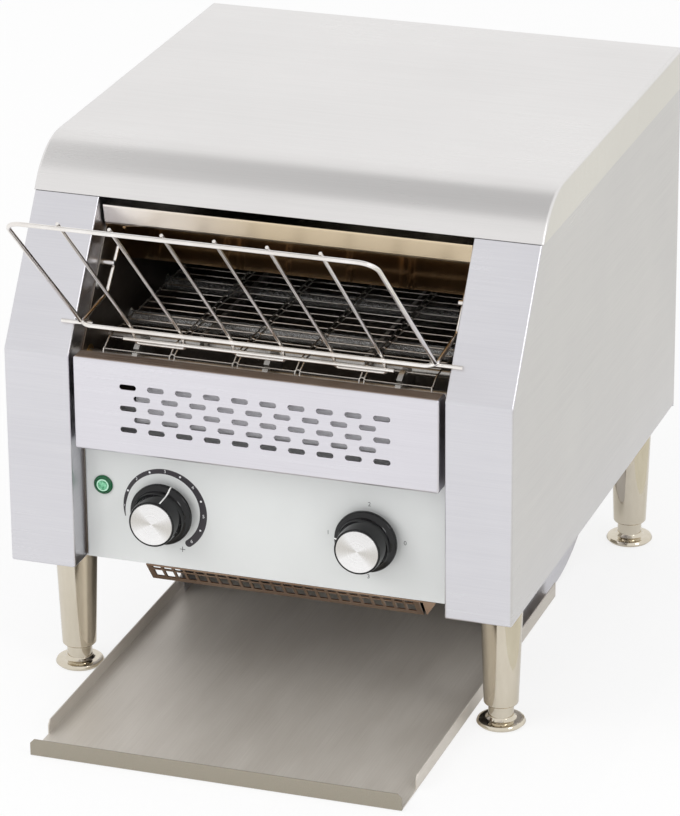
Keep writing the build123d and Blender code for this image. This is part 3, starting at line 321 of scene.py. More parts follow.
# Control panel: a steel plate with a satin grey foil glued over its whole front.
# Its sides and lower edge are folded back.
foil = Finish("panel_foil", IOR=1.45)
grains = foil.noise(2600.0)
clouds = foil.noise(25.0, 3.0)
foil.feed("Base Color", foil.tinted(grains * 0.5 + clouds * 0.5, "d9dbda", "dddfde"))
foil.roughen(grains * 0.4 + clouds * 0.6, 0.48, 0.62)
foil.relief(grains, 0.02 * mm, 0.5)
dressed("control_panel", foil.material, fold=1.5 * mm)


# Panel print: a dark band that widens clockwise round the speed knob, with white figures and dots
# in it, a plus sign at its end and small grey figures at the mode knob's four places.
ink = 0.03 * mm
panel_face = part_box("control_panel")[0].y


def shown_mesh(name, shape, material):
    """Object at the origin from a finished bmesh."""
    mesh = bpy.data.meshes.new(name)
    shape.to_mesh(mesh)
    shape.free()
    smoothed(mesh, 38)
    mesh.materials.append(material)
    return placed(name, mesh)


def ink_field(shape, outline, layer):
    """Flat printed field from an outline of (x, z) points in millimetres, seen from the front."""
    height = panel_face - layer * ink
    front = [shape.verts.new((x * mm, height - ink, z * mm)) for x, z in outline]
    rear = [shape.verts.new((x * mm, height, z * mm)) for x, z in outline]
    shape.faces.new(front)
    shape.faces.new(rear[::-1])
    for k in range(len(outline)):
        shape.faces.new((front[k - 1], front[k], rear[k], rear[k - 1])[::-1])


font_scale = 1.38


def ink_figure(shape, word, x, z, size, layer):
    """Printed figure centred on (x, z), all in millimetres."""
    text = bpy.data.curves.new("figure", "FONT")
    text.body = word
    text.size = size * font_scale
    text.extrude = ink / mm / 2
    text.align_x = "CENTER"
    text.align_y = "CENTER"
    holder = placed("figure", text)
    graph = bpy.context.evaluated_depsgraph_get()
    flat = bpy.data.meshes.new_from_object(holder.evaluated_get(graph))
    bpy.data.objects.remove(holder)
    place = Vector((x * mm, panel_face - (layer + 0.5) * ink, z * mm))
    upright = Matrix.Rotation(pi / 2, 4, "X") @ Matrix.Scale(mm, 4)
    flat.transform(Matrix.Translation(place) @ upright)
    shape.from_mesh(flat)


def around(x, z, radius, turn):
    """Point at this turn, in degrees, on a circle round (x, z)."""
    return x + radius * cos(radians(turn)), z + radius * sin(radians(turn))


def bar(x, z, half_x, half_z):
    corners = ((-half_x, -half_z), (half_x, -half_z), (half_x, half_z), (-half_x, half_z))
    return [(x + right, z + up) for right, up in corners]


dial_x, dial_z, dial_r = -74.5, 145.8, 31.0
band_start, band_step, band_parts = 195, 3.1, 80
tail_turn, growth_turn = 25, 174
tip_width, tail_width, growth = 0.6, 1.8, 2.9
end_radius, end_step = 2.7, 15


def band_width(turn):
    """Width of the dark band at this turn, in degrees: a short pointed tail, then slowly wider."""
    tail = min(1, (band_start - turn) / tail_turn)
    grown = min(1, max(0, (band_start - tail_turn - turn) / growth_turn))
    return tip_width + tail_width * tail + growth * grown


def on_dial(turn, depth):
    """Point of the dial at this turn, at this share of the band's width from its outer edge."""
    return around(dial_x, dial_z, dial_r - depth * band_width(turn), turn)


turns = [band_start - k * band_step for k in range(band_parts + 1)]
outer = [on_dial(turn, 0) for turn in turns]
inner = [on_dial(turn, 1) for turn in turns]
end_x, end_z = ((a + b) / 2 for a, b in zip(outer[-1], inner[-1]))
tip = [around(end_x, end_z, end_radius, turns[-1] - k * end_step) for k in range(1, 12)]
dark = bmesh.new()
for k in range(band_parts):
    ink_field(dark, [outer[k], outer[k + 1], inner[k + 1], inner[k]], 0)
ink_field(dark, [outer[-1], *tip, inner[-1]], 0)
plus_x, plus_z, plus_arm, plus_half = -62.2, 118.0, 2.0, 0.2
ink_field(dark, bar(plus_x, plus_z, plus_arm, plus_half), 0)
ink_field(dark, bar(plus_x, plus_z, plus_half, plus_arm), 1)

white = bmesh.new()
figure_start, dot_start, figure_step = 180, 157.3, 45.5
for k in range(6):
    turn = figure_start - figure_step * k
    ink_figure(white, str(k + 1), *on_dial(turn, 0.5), 1.8 + 0.25 * min(k, 3), 1)
dot_radius, dot_corners = 0.75, 20
for k in range(5):
    x, z = on_dial(dot_start - figure_step * k, 0.5)
    dot = [around(x, z, dot_radius, 360 * j / dot_corners) for j in range(dot_corners)]
    ink_field(white, dot, 1)

grey = bmesh.new()
mode_size = 3.2
mode_places = (("1", 45.0, 145.5), ("2", 75.0, 170.4), ("0", 100.6, 144.9), ("3", 74.0, 116.4))
for word, x, z in mode_places:
    ink_figure(grey, word, x, z, mode_size, 0)


def ink_finish(name, deep, worn):
    """Screen-printed ink: matt, a little uneven."""
    finish = Finish(name)
    screen = finish.noise(2200.0)
    finish.feed("Base Color", finish.blend(screen, tint(deep), tint(worn)))
    finish.roughen(screen, 0.4, 0.6)
    return finish.material


for name, shape, material in (
    ("dial_band", dark, ink_finish("ink_dark", "2b272a", "38343a")),
    ("dial_figures", white, ink_finish("ink_white", "f2f2f2", "e4e4e6")),
    ("mode_figures", grey, ink_finish("ink_grey", "4e4f50", "626364")),
):
    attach(shown_mesh(name, shape, material), "root")


# Knobs: moulded glossy black plastic, a skirt that sweeps up into a tapered grip, with a white
# pointer line and a pressed aluminium cap glued into the end.
def offset_from(finish, centre):
    """Vector from a centre to the surface."""
    return finish.node("ShaderNodeVectorMath", {"operation": "SUBTRACT"}, {0: finish.at, 1: centre})


def length_of(finish, vector):
    return finish.node("ShaderNodeVectorMath", {"operation": "LENGTH"}, {0: vector}, output="Value")


pointer_half, pointer_end = 0.5 * mm, 29.4 * mm
lathe_steps = 96
cap_rings = 4200.0


def knob_black(name, centre, turn):
    """Black plastic with a white line from the skirt's edge to the cap, turned from upright."""
    finish = Finish(name, IOR=1.44)
    turned = finish.node(
        "ShaderNodeVectorRotate",
        {"rotation_type": "Y_AXIS"},
        {"Vector": offset_from(finish, centre), "Center": (0, 0, 0), "Angle": -turn},
    )
    beside = abs(finish.part(turned, "X")) < pointer_half
    line = beside * (finish.part(turned, "Z") > 0) * (length_of(finish, turned) < pointer_end)
    moulding = finish.noise(1800.0)
    haze = finish.noise(160.0, 3.0)
    black = finish.blend(haze, tint("060607"), tint("0c0c0e"))
    finish.feed("Base Color", finish.blend(line, black, tint("eeeeec")))
    finish.roughen(moulding * 0.4 + haze * 0.6, 0.04, 0.1)
    finish.relief(moulding, 0.001 * mm, 0.5)
    return finish.material


def cap_aluminium(name, centre):
    """Pressed aluminium with fine rings round its centre and two darker sectors across them, a painted
    radial sheen.
    """
    finish = Finish(name, Metallic=1.0)
    offset = offset_from(finish, centre)
    rings = finish.node(
        "ShaderNodeTexNoise",
        {"noise_dimensions": "1D"},
        {"W": length_of(finish, offset) * cap_rings, "Scale": 1.0, "Detail": 2.0},
    )
    patches = finish.noise(220.0)
    # Darker sectors by angle round the centre: a painted sheen of the spun metal, fixed on the cap.
    bearing = finish.math("ARCTAN2", finish.part(offset, "Z"), finish.part(offset, "X"))
    sheen_sweep = finish.math("COSINE", bearing * 2.0 + 0.35)
    satin = finish.tinted(rings, "e9e8e7", "f4f3f3", 0.3, 0.7)
    painted_sheen_fans = finish.level(sheen_sweep, 0.1, 1.0, 0.0, 0.75)
    finish.feed("Base Color", finish.blend(painted_sheen_fans, satin, tint("c3bfb8")))
    finish.roughen(rings * 0.7 + patches * 0.3, 0.34, 0.22)
    finish.relief(rings, 0.01 * mm, 0.7)
    return finish.material


def lathed(name, profile, centre, material):
    """Solid of revolution from (radius, height) points, about a line forward through centre."""
    shape = bmesh.new()
    points = [shape.verts.new((radius, 0, height)) for radius, height in profile]
    edges = [shape.edges.new(pair) for pair in zip(points, points[1:])]
    bmesh.ops.spin(
        shape,
        geom=points + edges,
        cent=(0, 0, 0),
        axis=(0, 0, 1),
        angle=2 * pi,
        steps=lathe_steps,
        use_duplicate=False,
    )
    bmesh.ops.remove_doubles(shape, verts=shape.verts, dist=0.001 * mm)
    bmesh.ops.dissolve_degenerate(shape, edges=shape.edges, dist=0.0001 * mm)
    bmesh.ops.recalc_face_normals(shape, faces=shape.faces)
    forward = Vector((0, 0, 1)).rotation_difference(Vector((0, -1, 0))).to_matrix().to_4x4()
    bmesh.ops.transform(shape, matrix=Matrix.Translation(centre) @ forward, verts=shape.verts)
    return shown_mesh(name, shape, material)


def swept(start, end, bulge, steps=8):
    """Points of a quarter-like curve from start to end that is pulled towards bulge."""
    path = []
    for k in range(steps + 1):
        t = k / steps
        corners = zip(start, bulge, end)
        path.append(tuple((1 - t) ** 2 * a + 2 * t * (1 - t) * b + t * t * c for a, b, c in corners))
    return path


knob_foot, skirt_r = 6.0 * mm, 22.45 * mm
cap_seat, cap_seat_r = 25.15 * mm, 15.55 * mm
knob_profile = [
    (3.2 * mm, knob_foot),
    (22.0 * mm, knob_foot),
    (skirt_r, 6.4 * mm),
    (skirt_r, 8.3 * mm),
    (22.1 * mm, 8.9 * mm),
    (21.5 * mm, 9.3 * mm),
    *swept((20.7 * mm, 9.5 * mm), (17.4 * mm, 14.8 * mm), (17.9 * mm, 10.1 * mm)),
    (16.7 * mm, 25.0 * mm),
    *swept((16.6 * mm, 25.5 * mm), (15.7 * mm, 26.38 * mm), (16.55 * mm, 26.38 * mm), 4),
    (15.6 * mm, 26.3 * mm),
    (cap_seat_r, cap_seat),
    (0.0, cap_seat),
]
cap_profile = [
    (0.0, 25.2 * mm),
    (15.35 * mm, 25.2 * mm),
    (15.44 * mm, 25.9 * mm),
    (15.15 * mm, 26.3 * mm),
    (14.75 * mm, 26.37 * mm),
    (14.15 * mm, 26.15 * mm),
    (0.0, 26.1 * mm),
]
for name, turn in (("speed", radians(20)), ("mode", radians(-90))):
    low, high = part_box(f"{name}_knob")
    centre = Vector(((low.x + high.x) / 2, high.y + knob_foot, (low.z + high.z) / 2))
    black = knob_black(f"{name}_knob_black", centre, turn)
    knob = lathed(f"{name}_knob_shape", knob_profile, centre, black)
    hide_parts(f"{name}_knob")
    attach(knob, f"{name}_control")
    aluminium = cap_aluminium(f"{name}_cap_aluminium", centre)
    cap = lathed(f"{name}_knob_cap_shape", cap_profile, centre, aluminium)
    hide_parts(f"{name}_knob_cap")
    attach(cap, f"{name}_control")


# Pilot lamp: a dark green plastic bezel clipped into the panel, with a ribbed green lens in front
# of the glow lamp.
def moulded(name, dark, light, gloss=0.35, grain=1400.0):
    """Plain moulded plastic with a fine pebbled skin."""
    finish = Finish(name, IOR=1.48)
    pebbles = finish.noise(grain)
    haze = finish.noise(90.0, 3.0)
    finish.feed("Base Color", finish.tinted(pebbles * 0.5 + haze * 0.5, dark, light))
    finish.roughen(haze * 0.5 + pebbles * 0.5, gloss + 0.1, gloss - 0.08)
    finish.relief(pebbles, 0.03 * mm, 0.5)
    return finish.material


dressed("lamp_bezel", moulded("lamp_ring", "0c3a24", "1d7446", 0.2), trim=0.25 * mm)
green = Finish("lens_green", IOR=1.49, Coat_Weight=0.6, Coat_Roughness=0.06)
low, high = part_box("lamp_lens")
lens_centre = ((low.x + high.x) / 2, low.y, (low.z + high.z) / 2)
lens_radius = length_of(green, offset_from(green, lens_centre))
highlight_ring_r, edge_start, edge_end = 4.0 * mm, 4.4 * mm, 4.8 * mm
rib_rate = 5200.0
ribs = green.math("SINE", lens_radius * rib_rate)
dapple = green.noise(420.0)
# The lens is green; the pale end of the dapple is painted highlights in the ribs.
body = green.tinted(dapple, "1f8f57", "8fe0b4", 0.36, 0.64)
# A bright ring near the edge: a painted highlight.
rim_highlight = green.level(abs(lens_radius - highlight_ring_r), 0.2 * mm, 0.5 * mm, 1.0, 0.0)
edge = green.level(lens_radius, edge_start, edge_end)
with_rim_highlight = green.blend(rim_highlight, body, tint("c9f2db"))
green.feed("Base Color", green.blend(edge, with_rim_highlight, tint("0f5f3a")))
green.roughen(dapple, 0.12, 0.3)
green.relief(ribs * 0.4 + dapple, 0.08 * mm, 0.6)
dressed("lamp_lens", green.material, trim=0)


# Bread rack: bright drawn steel wire. The frame, the foot wire with its two legs and the three
# pairs of bars are bent and spot-welded, and the rack turns on two pins on the columns.
wire = Finish("rack_wire", Metallic=1.0)
drawn = wire.noise(2200.0)
rubbed = wire.noise(35.0, 3.0)
wire.feed("Base Color", wire.tinted(drawn * 0.2 + rubbed * 0.8, "e2dcd6", "f6f3f0"))
wire.roughen(rubbed * 0.6 + drawn * 0.4, 0.1, 0.18)
wire.relief(drawn, 0.001 * mm, 0.4)
for node in ("rack_frame", "rack_legs", "rack_bars", "rack_pivot_pins", "rack_stop_pins"):
    dressed(node, wire.material, trim=0)


# Bread entry and chamber: the bright baffle over the entry, the two chamber walls and the reflectors
# are thin stainless sheets. The walls and reflectors are tanned by the heat of the tubes. The baffle's
# strip goes from near white at the left to straw towards the right, and its lower plate is painted
# brown with blotches, a painted reflection.
def heat_tint_and_reflection_steel(name, light, dark, tone_and_reflection, grain, roughness):
    """Ground sheet, its grain along axis 0 or 1, with blotches of a darker tone: heat tint on the chamber
    sheets, and on the guard part of a painted reflection of toast.
    """
    finish = Finish(name, Metallic=1.0)
    fine = [900.0] * 3
    fine[grain] = 12.0
    scratches = finish.noise(fine, 3.0, 0.6)
    blotches = finish.noise(14.0, 3.0)
    plain = finish.tinted(scratches, dark, light, 0.3, 0.7)
    finish.feed("Base Color", finish.blend(finish.level(blotches, 0.35, 0.75), plain, tint(tone_and_reflection)))
    finish.roughen(scratches * 0.5 + blotches * 0.5, roughness, roughness + 0.16)
    finish.relief(scratches, 0.01 * mm, 0.6)
    return finish.material


baffle = Finish("baffle_steel", Metallic=1.0)
strip_low, strip_full = 333 * mm, 335 * mm
along, height = baffle.part(baffle.at, "X"), baffle.part(baffle.at, "Z")
rolled = baffle.noise((12.0, 900.0, 900.0), 3.0, 0.6)
blotches = baffle.noise(18.0, 3.0)
toward_right = baffle.level(along + blotches * 60 * mm, -110 * mm, 20 * mm)
# The strip goes from near white at the left to straw towards the right.
strip_tone = baffle.blend(toward_right, tint("f6f1ee"), tint("e2d0b2"))
# The lower plate is painted brown with blotches: a painted reflection.
painted_reflection_brown = baffle.blend(blotches, tint("b08a5c"), tint("c29f70"))
tone_and_reflection = baffle.blend(baffle.level(height, strip_low, strip_full), painted_reflection_brown, strip_tone)
baffle.feed("Base Color", baffle.blend(rolled * 0.12, tone_and_reflection, tint("b9aa98")))
gloss = baffle.level(height + rolled * 2 * mm, strip_low, 337 * mm, 0.12, 0.2)
baffle.feed("Roughness", gloss)
baffle.relief(rolled, scratch_depth, 0.4)
chamber_steel = heat_tint_and_reflection_steel("chamber_steel", "8d8780", "716b65", "5e5044", 1, 0.34)
dressed("entry_baffle", baffle.material, fold=1.5 * mm)
for node in ("left_chamber_wall", "right_chamber_wall"):
    dressed(node, chamber_steel, trim=0.25 * mm)
for node in ("upper_reflector", "lower_reflector"):
    dressed(node, chamber_steel, fold=1.5 * mm)


# Heating tubes: clear quartz tubes with a coiled resistance wire inside and a white ceramic cap
# pushed over each end, outside the chamber walls. Three lie over the belt and three inside it.
quartz = Finish("quartz", IOR=1.46, Transmission_Weight=0.85)
smoke = quartz.noise((80.0, 300.0, 300.0))
quartz.feed("Base Color", quartz.blend(smoke, tint("f4f4f4"), tint("dedcd8")))
quartz.roughen(smoke, 0.04, 0.16)
dressed("quartz_tubes", quartz.material, trim=0)
ceramic = moulded("ceramic_white", "d9d4c8", "ece8de", 0.55, 900.0)
finished(ceramic, "tube_caps")


class Pattern(Nodes):
    """A Geometry Nodes tree that repeats a shape; its sizes are named inputs."""

    def __init__(self, name, **sizes):
        super().__init__(bpy.data.node_groups.new(name, "GeometryNodeTree"))
        sockets = self.tree.interface
        sockets.new_socket("Geometry", in_out="INPUT", socket_type="NodeSocketGeometry")
        sockets.new_socket("Geometry", in_out="OUTPUT", socket_type="NodeSocketGeometry")
        self.values = {}
        for label, value in sizes.items():
            kind = "NodeSocketFloat" if isinstance(value, float) else "NodeSocketObject"
            socket = sockets.new_socket(label, in_out="INPUT", socket_type=kind)
            self.values[socket.identifier] = value

    def given(self, label):
        return self.node("NodeGroupInput", output=label)

    def piped(self, path, corners, radius, caps=False):
        """Round wire along a path, its ends closed by caps."""
        ring = self.node(
            "GeometryNodeCurvePrimitiveCircle", inputs={"Resolution": corners, "Radius": radius}
        )
        return self.node(
            "GeometryNodeCurveToMesh",
            inputs={"Curve": path, "Profile Curve": ring, "Fill Caps": caps},
        )

    def made(self, name, points, shape, material, crease=38):
        """Plain mesh, as one piece, of the shape on each point, turned by the point's facing."""
        facing = self.node(
            "GeometryNodeInputNamedAttribute", {"data_type": "FLOAT_VECTOR"}, {"Name": "facing"}
        )
        laid = self.node(
            "GeometryNodeInstanceOnPoints",
            inputs={"Points": self.given("Geometry"), "Instance": shape, "Rotation": facing},
        )
        real = self.node("GeometryNodeRealizeInstances", inputs={0: laid})
        painted = self.node("GeometryNodeSetMaterial", inputs={0: real, "Material": material})
        self.node("NodeGroupOutput", inputs={0: painted})
        piece = placed(name, points)
        modifier = piece.modifiers.new(name, "NODES")
        modifier.node_group = self.tree
        for identifier, value in self.values.items():
            modifier[identifier] = value
        grown = piece.evaluated_get(bpy.context.evaluated_depsgraph_get())
        mesh = bpy.data.meshes.new_from_object(grown)
        piece.modifiers.clear()
        piece.data = mesh
        smoothed(mesh, crease)
        return piece


def marked(name, places, facings):
    """Points that carry the way each repeated shape is turned."""
    mesh = bpy.data.meshes.new(name)
    mesh.from_pydata(places, [], [])
    turns = mesh.attributes.new("facing", "FLOAT_VECTOR", "POINT")
    turns.data.foreach_set("vector", [part for facing in facings for part in facing])
    return mesh


def middle(node):
    """Middle of a node's box."""
    low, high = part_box(node)
    return (low + high) / 2


coil_metal = Finish("coil_wire", Metallic=1.0)
oxide = coil_metal.noise(300.0)
coil_metal.feed("Base Color", coil_metal.blend(oxide, tint("2b2825"), tint("46413c")))
coil_metal.roughen(oxide, 0.35, 0.6)
tube_low, tube_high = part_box("quartz_tubes")
tube_r, upper_z = 5 * mm, 313 * mm
upper_pitch, lower_pitch = 80 * mm, 72 * mm
belt_front, belt_rear = middle("front_shaft").y, middle("drive_shaft").y
shaft_z = middle("front_shaft").z
upper_rear = tube_high.y - tube_r
lower_middle = (belt_front + belt_rear) / 2
tube_lines = [(upper_rear + k * upper_pitch, upper_z) for k in (-2, -1, 0)]
tube_lines += [(lower_middle + k * lower_pitch, shaft_z) for k in (-1, 0, 1)]
tube_length = tube_high.x - tube_low.x
coils = Pattern("coil", Length=tube_length, Radius=2.2 * mm, Wire=0.45 * mm, Turns=64.0)
spiral = coils.node(
    "GeometryNodeCurveSpiral",
    inputs={
        "Resolution": 14,
        "Rotations": coils.given("Turns"),
        "Start Radius": coils.given("Radius"),
        "End Radius": coils.given("Radius"),
        "Height": coils.given("Length"),
    },
)
wound = coils.piped(spiral, 6, coils.given("Wire"))
coil_starts = [(tube_low.x, y, z) for y, z in tube_lines]
coil_points = marked("coil_points", coil_starts, [(0, pi / 2, 0)] * len(coil_starts))
coil_piece = coils.made("heating_coils_wound", coil_points, wound, coil_metal.material, 75)
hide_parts("heating_coils")
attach(coil_piece, "root")


# Wire belt: each strand is one bright stainless wire across the machine. At four places it doubles
# back in a narrow loop that hooks over the next strand, and its two ends hook back the same way.
belt_wire = Finish("belt_wire", Metallic=1.0)
burnish = belt_wire.noise((120.0, 900.0, 900.0), 3.0)
soot = belt_wire.noise(22.0)
belt_wire.feed("Base Color", belt_wire.tinted(burnish * 0.2 + soot * 0.8, "aca59d", "d6d1cb"))
belt_wire.roughen(burnish, 0.2, 0.36)
pitch, joggle, wire_r = 12 * mm, 3 * mm, 0.6 * mm
half_width = 118.5 * mm
hook_lift, hook_over = 1.3 * mm, 1.25 * mm
end_over = 0.9 * mm


def hook(x):
    """Narrow loop at x: out to the next strand, round it from above, and back beside itself."""
    out = [
        (x, 0, 0),
        (x, 0.25 * pitch, hook_lift * 0.4),
        (x, pitch - 0.3 * mm, hook_lift),
        (x, pitch + hook_over, hook_lift * 0.55),
    ]
    back = []
    for _, y, z in reversed(out):
        back.append((x + joggle, y, -0.35 * z if y > pitch * 0.9 else z * 0.6))
    return out + back


def strand_end(x):
    """From the strand's corner at x to the tip that hooks over the next strand."""
    return [
        (x, 0, 0),
        (x, 0.3 * pitch, 0.6 * mm),
        (x, pitch, hook_lift),
        (x, pitch + end_over, 0.3 * mm),
    ]


hook_places = (-70 * mm, -24 * mm, 21 * mm, 67 * mm)
strand = strand_end(-half_width)[::-1]
for x in hook_places:
    strand += hook(x)
strand += strand_end(half_width)
strand_line = bpy.data.meshes.new("strand_line")
strand_line.from_pydata(strand, [(k, k + 1) for k in range(len(strand) - 1)], [])
strand_object = bpy.data.objects.new("strand_line", strand_line)
wheel_teeth, run_strands = 8, 25
belt_r = pitch / 2 / sin(pi / wheel_teeth)
places, facings = [], []
for way, start, run, lean in ((1, belt_front, belt_rear, 0), (-1, belt_rear, belt_front, pi)):
    for k in range(run_strands):
        places.append((0, start + way * k * pitch, shaft_z + way * belt_r))
        facings.append((lean, 0, 0))
    for k in range(wheel_teeth // 2):
        t = 2 * pi * k / wheel_teeth
        places.append((0, run + way * belt_r * sin(t), shaft_z + way * belt_r * cos(t)))
        facings.append((lean - t - pi / wheel_teeth, 0, 0))
belt = Pattern("belt", Strand=strand_object, Wire=wire_r, Bend=0.9 * mm)
line = belt.node("GeometryNodeObjectInfo", inputs={"Object": belt.given("Strand")}, output="Geometry")
curve = belt.node("GeometryNodeMeshToCurve", inputs={"Mesh": line})
bent = belt.node(
    "GeometryNodeFilletCurve", inputs={"Curve": curve, "Radius": belt.given("Bend"), "Limit Radius": True}
)
strand_mesh = belt.piped(bent, 8, belt.given("Wire"), caps=True)
belt_points = marked("belt_points", places, facings)
belt_piece = belt.made("wire_belt_strands", belt_points, strand_mesh, belt_wire.material, 75)
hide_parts("wire_belt")
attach(belt_piece, "root")


# Shafts, belt wheels, rails and bushes: turned steel shafts in flanged brass bushes carry the
# stamped wheels of the belt, and two upright strips on cross bars hold its upper run.
def turned_steel(name, light, dark, roughness=0.26):
    """Machined steel with fine rings from the tool."""
    finish = Finish(name, Metallic=1.0)
    tool = finish.noise((2400.0, 300.0, 300.0))
    oil = finish.noise(45.0, 3.0)
    mix = tool * 0.5 + oil * 0.5
    finish.feed("Base Color", finish.tinted(mix, dark, light))
    finish.roughen(mix, roughness, roughness + 0.14)
    finish.relief(tool, 0.01 * mm, 0.6)
    return finish.material


shaft_steel = turned_steel("shaft_steel", "c3c0bc", "9f9c98")
brass = turned_steel("bush_brass", "c9a86a", "a98547")
for node in ("front_shaft", "drive_shaft", "front_belt_wheels", "drive_belt_wheels", "belt_rails"):
    dressed(node, shaft_steel, trim=0.2 * mm)
finished(brass, "shaft_bushes")


# Drive: a gear motor on a bracket outside the right chamber wall turns the rear shaft through a
# short roller chain.
chain_steel = turned_steel("chain_steel", "8f8b86", "6a6661", 0.34)
finished(chain_steel, "drive_chain", "drive_chain_wheel", "motor_chain_wheel", "motor_shaft")
finished(side_steel, "motor_bracket")
motor_paint = moulded("motor_paint", "3c3f42", "4b4f53", 0.42, 700.0)
finished(motor_paint, "gear_motor")


# Chute and tray: a curved stainless sheet between two cheeks brings the toast forward onto the
# folded tray, which slides in under the casing. The tray's front lip is painted darker than its
# floor: painted shade on the lip and painted light on the floor.
chute_steel = ground_steel("chute_steel", "c6c0b6", "b8b2a8", lengthwise, 0.45, 0.4)
dressed("chute_deflector", chute_steel)
dressed("chute_cheeks", side_steel)
tray = Finish("tray_steel", Metallic=0.35)
scratches = tray.noise(lengthwise, 4.0, 0.7)
scuffs = tray.noise((30.0, 9.0, 30.0), 3.0)
wear = scratches * 0.5 + scuffs * 0.5
# The floor is painted lighter and the front lip darker, painted light and shade for how each face is lit;
# the scratches and scuffs in both are real wear.
painted_lit_floor = tray.tinted(wear, "cdc6bc", "dcd6cd")
painted_lip = tray.tinted(scratches, "938c7e", "a19a8c", 0.3, 0.7)
tray_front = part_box("collecting_tray")[0].y
lip_end, floor_start = tray_front + 1.6 * mm, tray_front + 3.2 * mm
depth = tray.part(tray.at, "Y") + (scuffs - 0.5) * 0.6 * mm
tray.feed("Base Color", tray.blend(tray.level(depth, lip_end, floor_start), painted_lip, painted_lit_floor))
tray.roughen(wear, 0.4, 0.52)
tray.relief(scratches, scratch_depth, 0.5)
dressed("collecting_tray", tray.material, trim=0.25 * mm)


# Lower guard: a strip with two rows of square holes that leans back under the control panel, with
# a small pointed lug at its right end. It is painted brown with darker blotches: a painted reflection of
# toast.
# Brown all over with darker blotches: a painted reflection of toast.
guard_steel = heat_tint_and_reflection_steel("guard_steel", "b39c88", "96806e", "7d6350", 0, 0.24)
dressed("lower_guard", guard_steel, trim=0.2 * mm)


# Electrical parts: behind the panel sit the potentiometer and the rotary switch under a heat
# shield, and in the left side space the speed board, the terminal block and the cable gland.
black_plastic = moulded("black_plastic", "141415", "202022")
# The box shield is painted near black and matt: painted shade of the gap behind the panel.
box_shield_steel = ground_steel("box_shield_steel", "1c1b1b", "141313", crosswise, 0.6, 0.0)
finished(box_shield_steel, "control_box_shield")
finished(black_plastic, "mode_switch", "speed_potentiometer", "terminal_block")
dressed("cable_gland", black_plastic, trim=0.4 * mm)
finished(shaft_steel, "speed_spindle", "mode_spindle")
finished(moulded("board_green", "1d5b38", "2a7a4b", 0.4, 600.0), "speed_control_board")


# Legs and feet: tapered chromed tubes screwed to the side panels' bottoms, each with a chromed
# foot on a threaded stem that sets the height.
leg_chrome = Finish("leg_chrome", Metallic=1.0)
wiped = leg_chrome.noise((160.0, 160.0, 40.0), 3.0)
# The chrome's warm beige tint is a painted warm reflection.
leg_chrome.feed("Base Color", leg_chrome.blend(wiped, tint("c9c0ae"), tint("dbd3c4")))
leg_chrome.roughen(wiped, 0.05, 0.13)
dressed("legs", leg_chrome.material, trim=0.5 * mm)
for corner in ("front_left", "front_right", "rear_left", "rear_right"):
    dressed(f"{corner}_foot", leg_chrome.material, trim=0.4 * mm)
finished(shaft_steel, "leg_nuts")


# Screws: zinc-plated pan heads with a cross recess hold the cover, the rear panel, the chamber
# walls and the base.
screw_steel = turned_steel("screw_steel", "b9b7b3", "95938f", 0.24)
finished(screw_steel, "front_cover_screws")
facets = 24
crown = 1.79
head_profile = [(1.9, -4.0), (2.1, -3.8), (2.1, 0.0), (3.2, 0.0), (3.38, 0.2), (3.38, 0.75)]
head_profile += [(3.05, 1.35), (2.4, 1.72), (1.9, crown)]
screw = bmesh.new()
rings = []
for radius, height in head_profile:
    spokes = [2 * pi * k / facets for k in range(facets)]
    ring = [(radius * cos(t) * mm, radius * sin(t) * mm, height * mm) for t in spokes]
    rings.append([screw.verts.new(place) for place in ring])
screw.faces.new(rings[0][::-1])
for lower, higher in zip(rings, rings[1:]):
    for k in range(facets):
        screw.faces.new((lower[k - 1], lower[k], higher[k], higher[k - 1]))
arm, half = 1.55, 0.34
recess_taper, recess_floor = 0.55, 0.6
cross = [(arm, -half), (arm, half), (half, half), (half, arm), (-half, arm), (-half, half)]
cross += [(-x, -z) for x, z in cross]
mouth = [screw.verts.new((x * mm, z * mm, crown * mm)) for x, z in cross]
base = [
    screw.verts.new((x * recess_taper * mm, z * recess_taper * mm, recess_floor * mm))
    for x, z in cross
]
brim = [screw.edges.new((mouth[k - 1], mouth[k])) for k in range(len(cross))]
brim += [screw.edges.get((rings[-1][k - 1], rings[-1][k])) for k in range(facets)]
bmesh.ops.triangle_fill(screw, use_beauty=True, use_dissolve=False, edges=brim)
for k in range(len(cross)):
    screw.faces.new((mouth[k - 1], mouth[k], base[k], base[k - 1]))
screw.faces.new(base)
bmesh.ops.recalc_face_normals(screw, faces=screw.faces)
screw_mesh = bpy.data.meshes.new("screw")
screw.to_mesh(screw_mesh)
screw.free()
screw_object = bpy.data.objects.new("screw", screw_mesh)

to_rear, to_floor = (-pi / 2, 0, 0), (pi, 0, 0)
cover_low, cover_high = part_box("top_cover")
casing_front, casing_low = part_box("left_side_panel")[0].yz
rear_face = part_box("rear_panel")[1].y
wall_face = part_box("right_chamber_wall")[0].x
cover_screws = (-150 * mm, 0, 150 * mm)
wall_screws = ((-118.13 * mm, 271 * mm), (-101.79 * mm, 295 * mm))
base_screws = (90 * mm, 210 * mm, 330 * mm)
rear_screw_x, base_screw_x = 175.3 * mm, 140 * mm
edge_inset = 30 * mm
rear_low, rear_high = casing_low + edge_inset, cover_low.z - edge_inset
places, facings = [], []
for x in cover_screws:
    places.append((x, cover_high.y, (cover_low.z + cover_high.z) / 2))
    facings.append((-pi / 2, 0, 0.4 + 9 * x))
for side in (-1, 1):
    for z in (rear_low, (rear_low + rear_high) / 2, rear_high):
        places.append((side * rear_screw_x, rear_face, z))
        facings.append(to_rear)
    for y, z in wall_screws:
        places.append((side * wall_face, y, z))
        facings.append((0, -side * pi / 2, 0))
    for y in base_screws:
        places.append((side * base_screw_x, casing_front + y, casing_low))
        facings.append(to_floor)
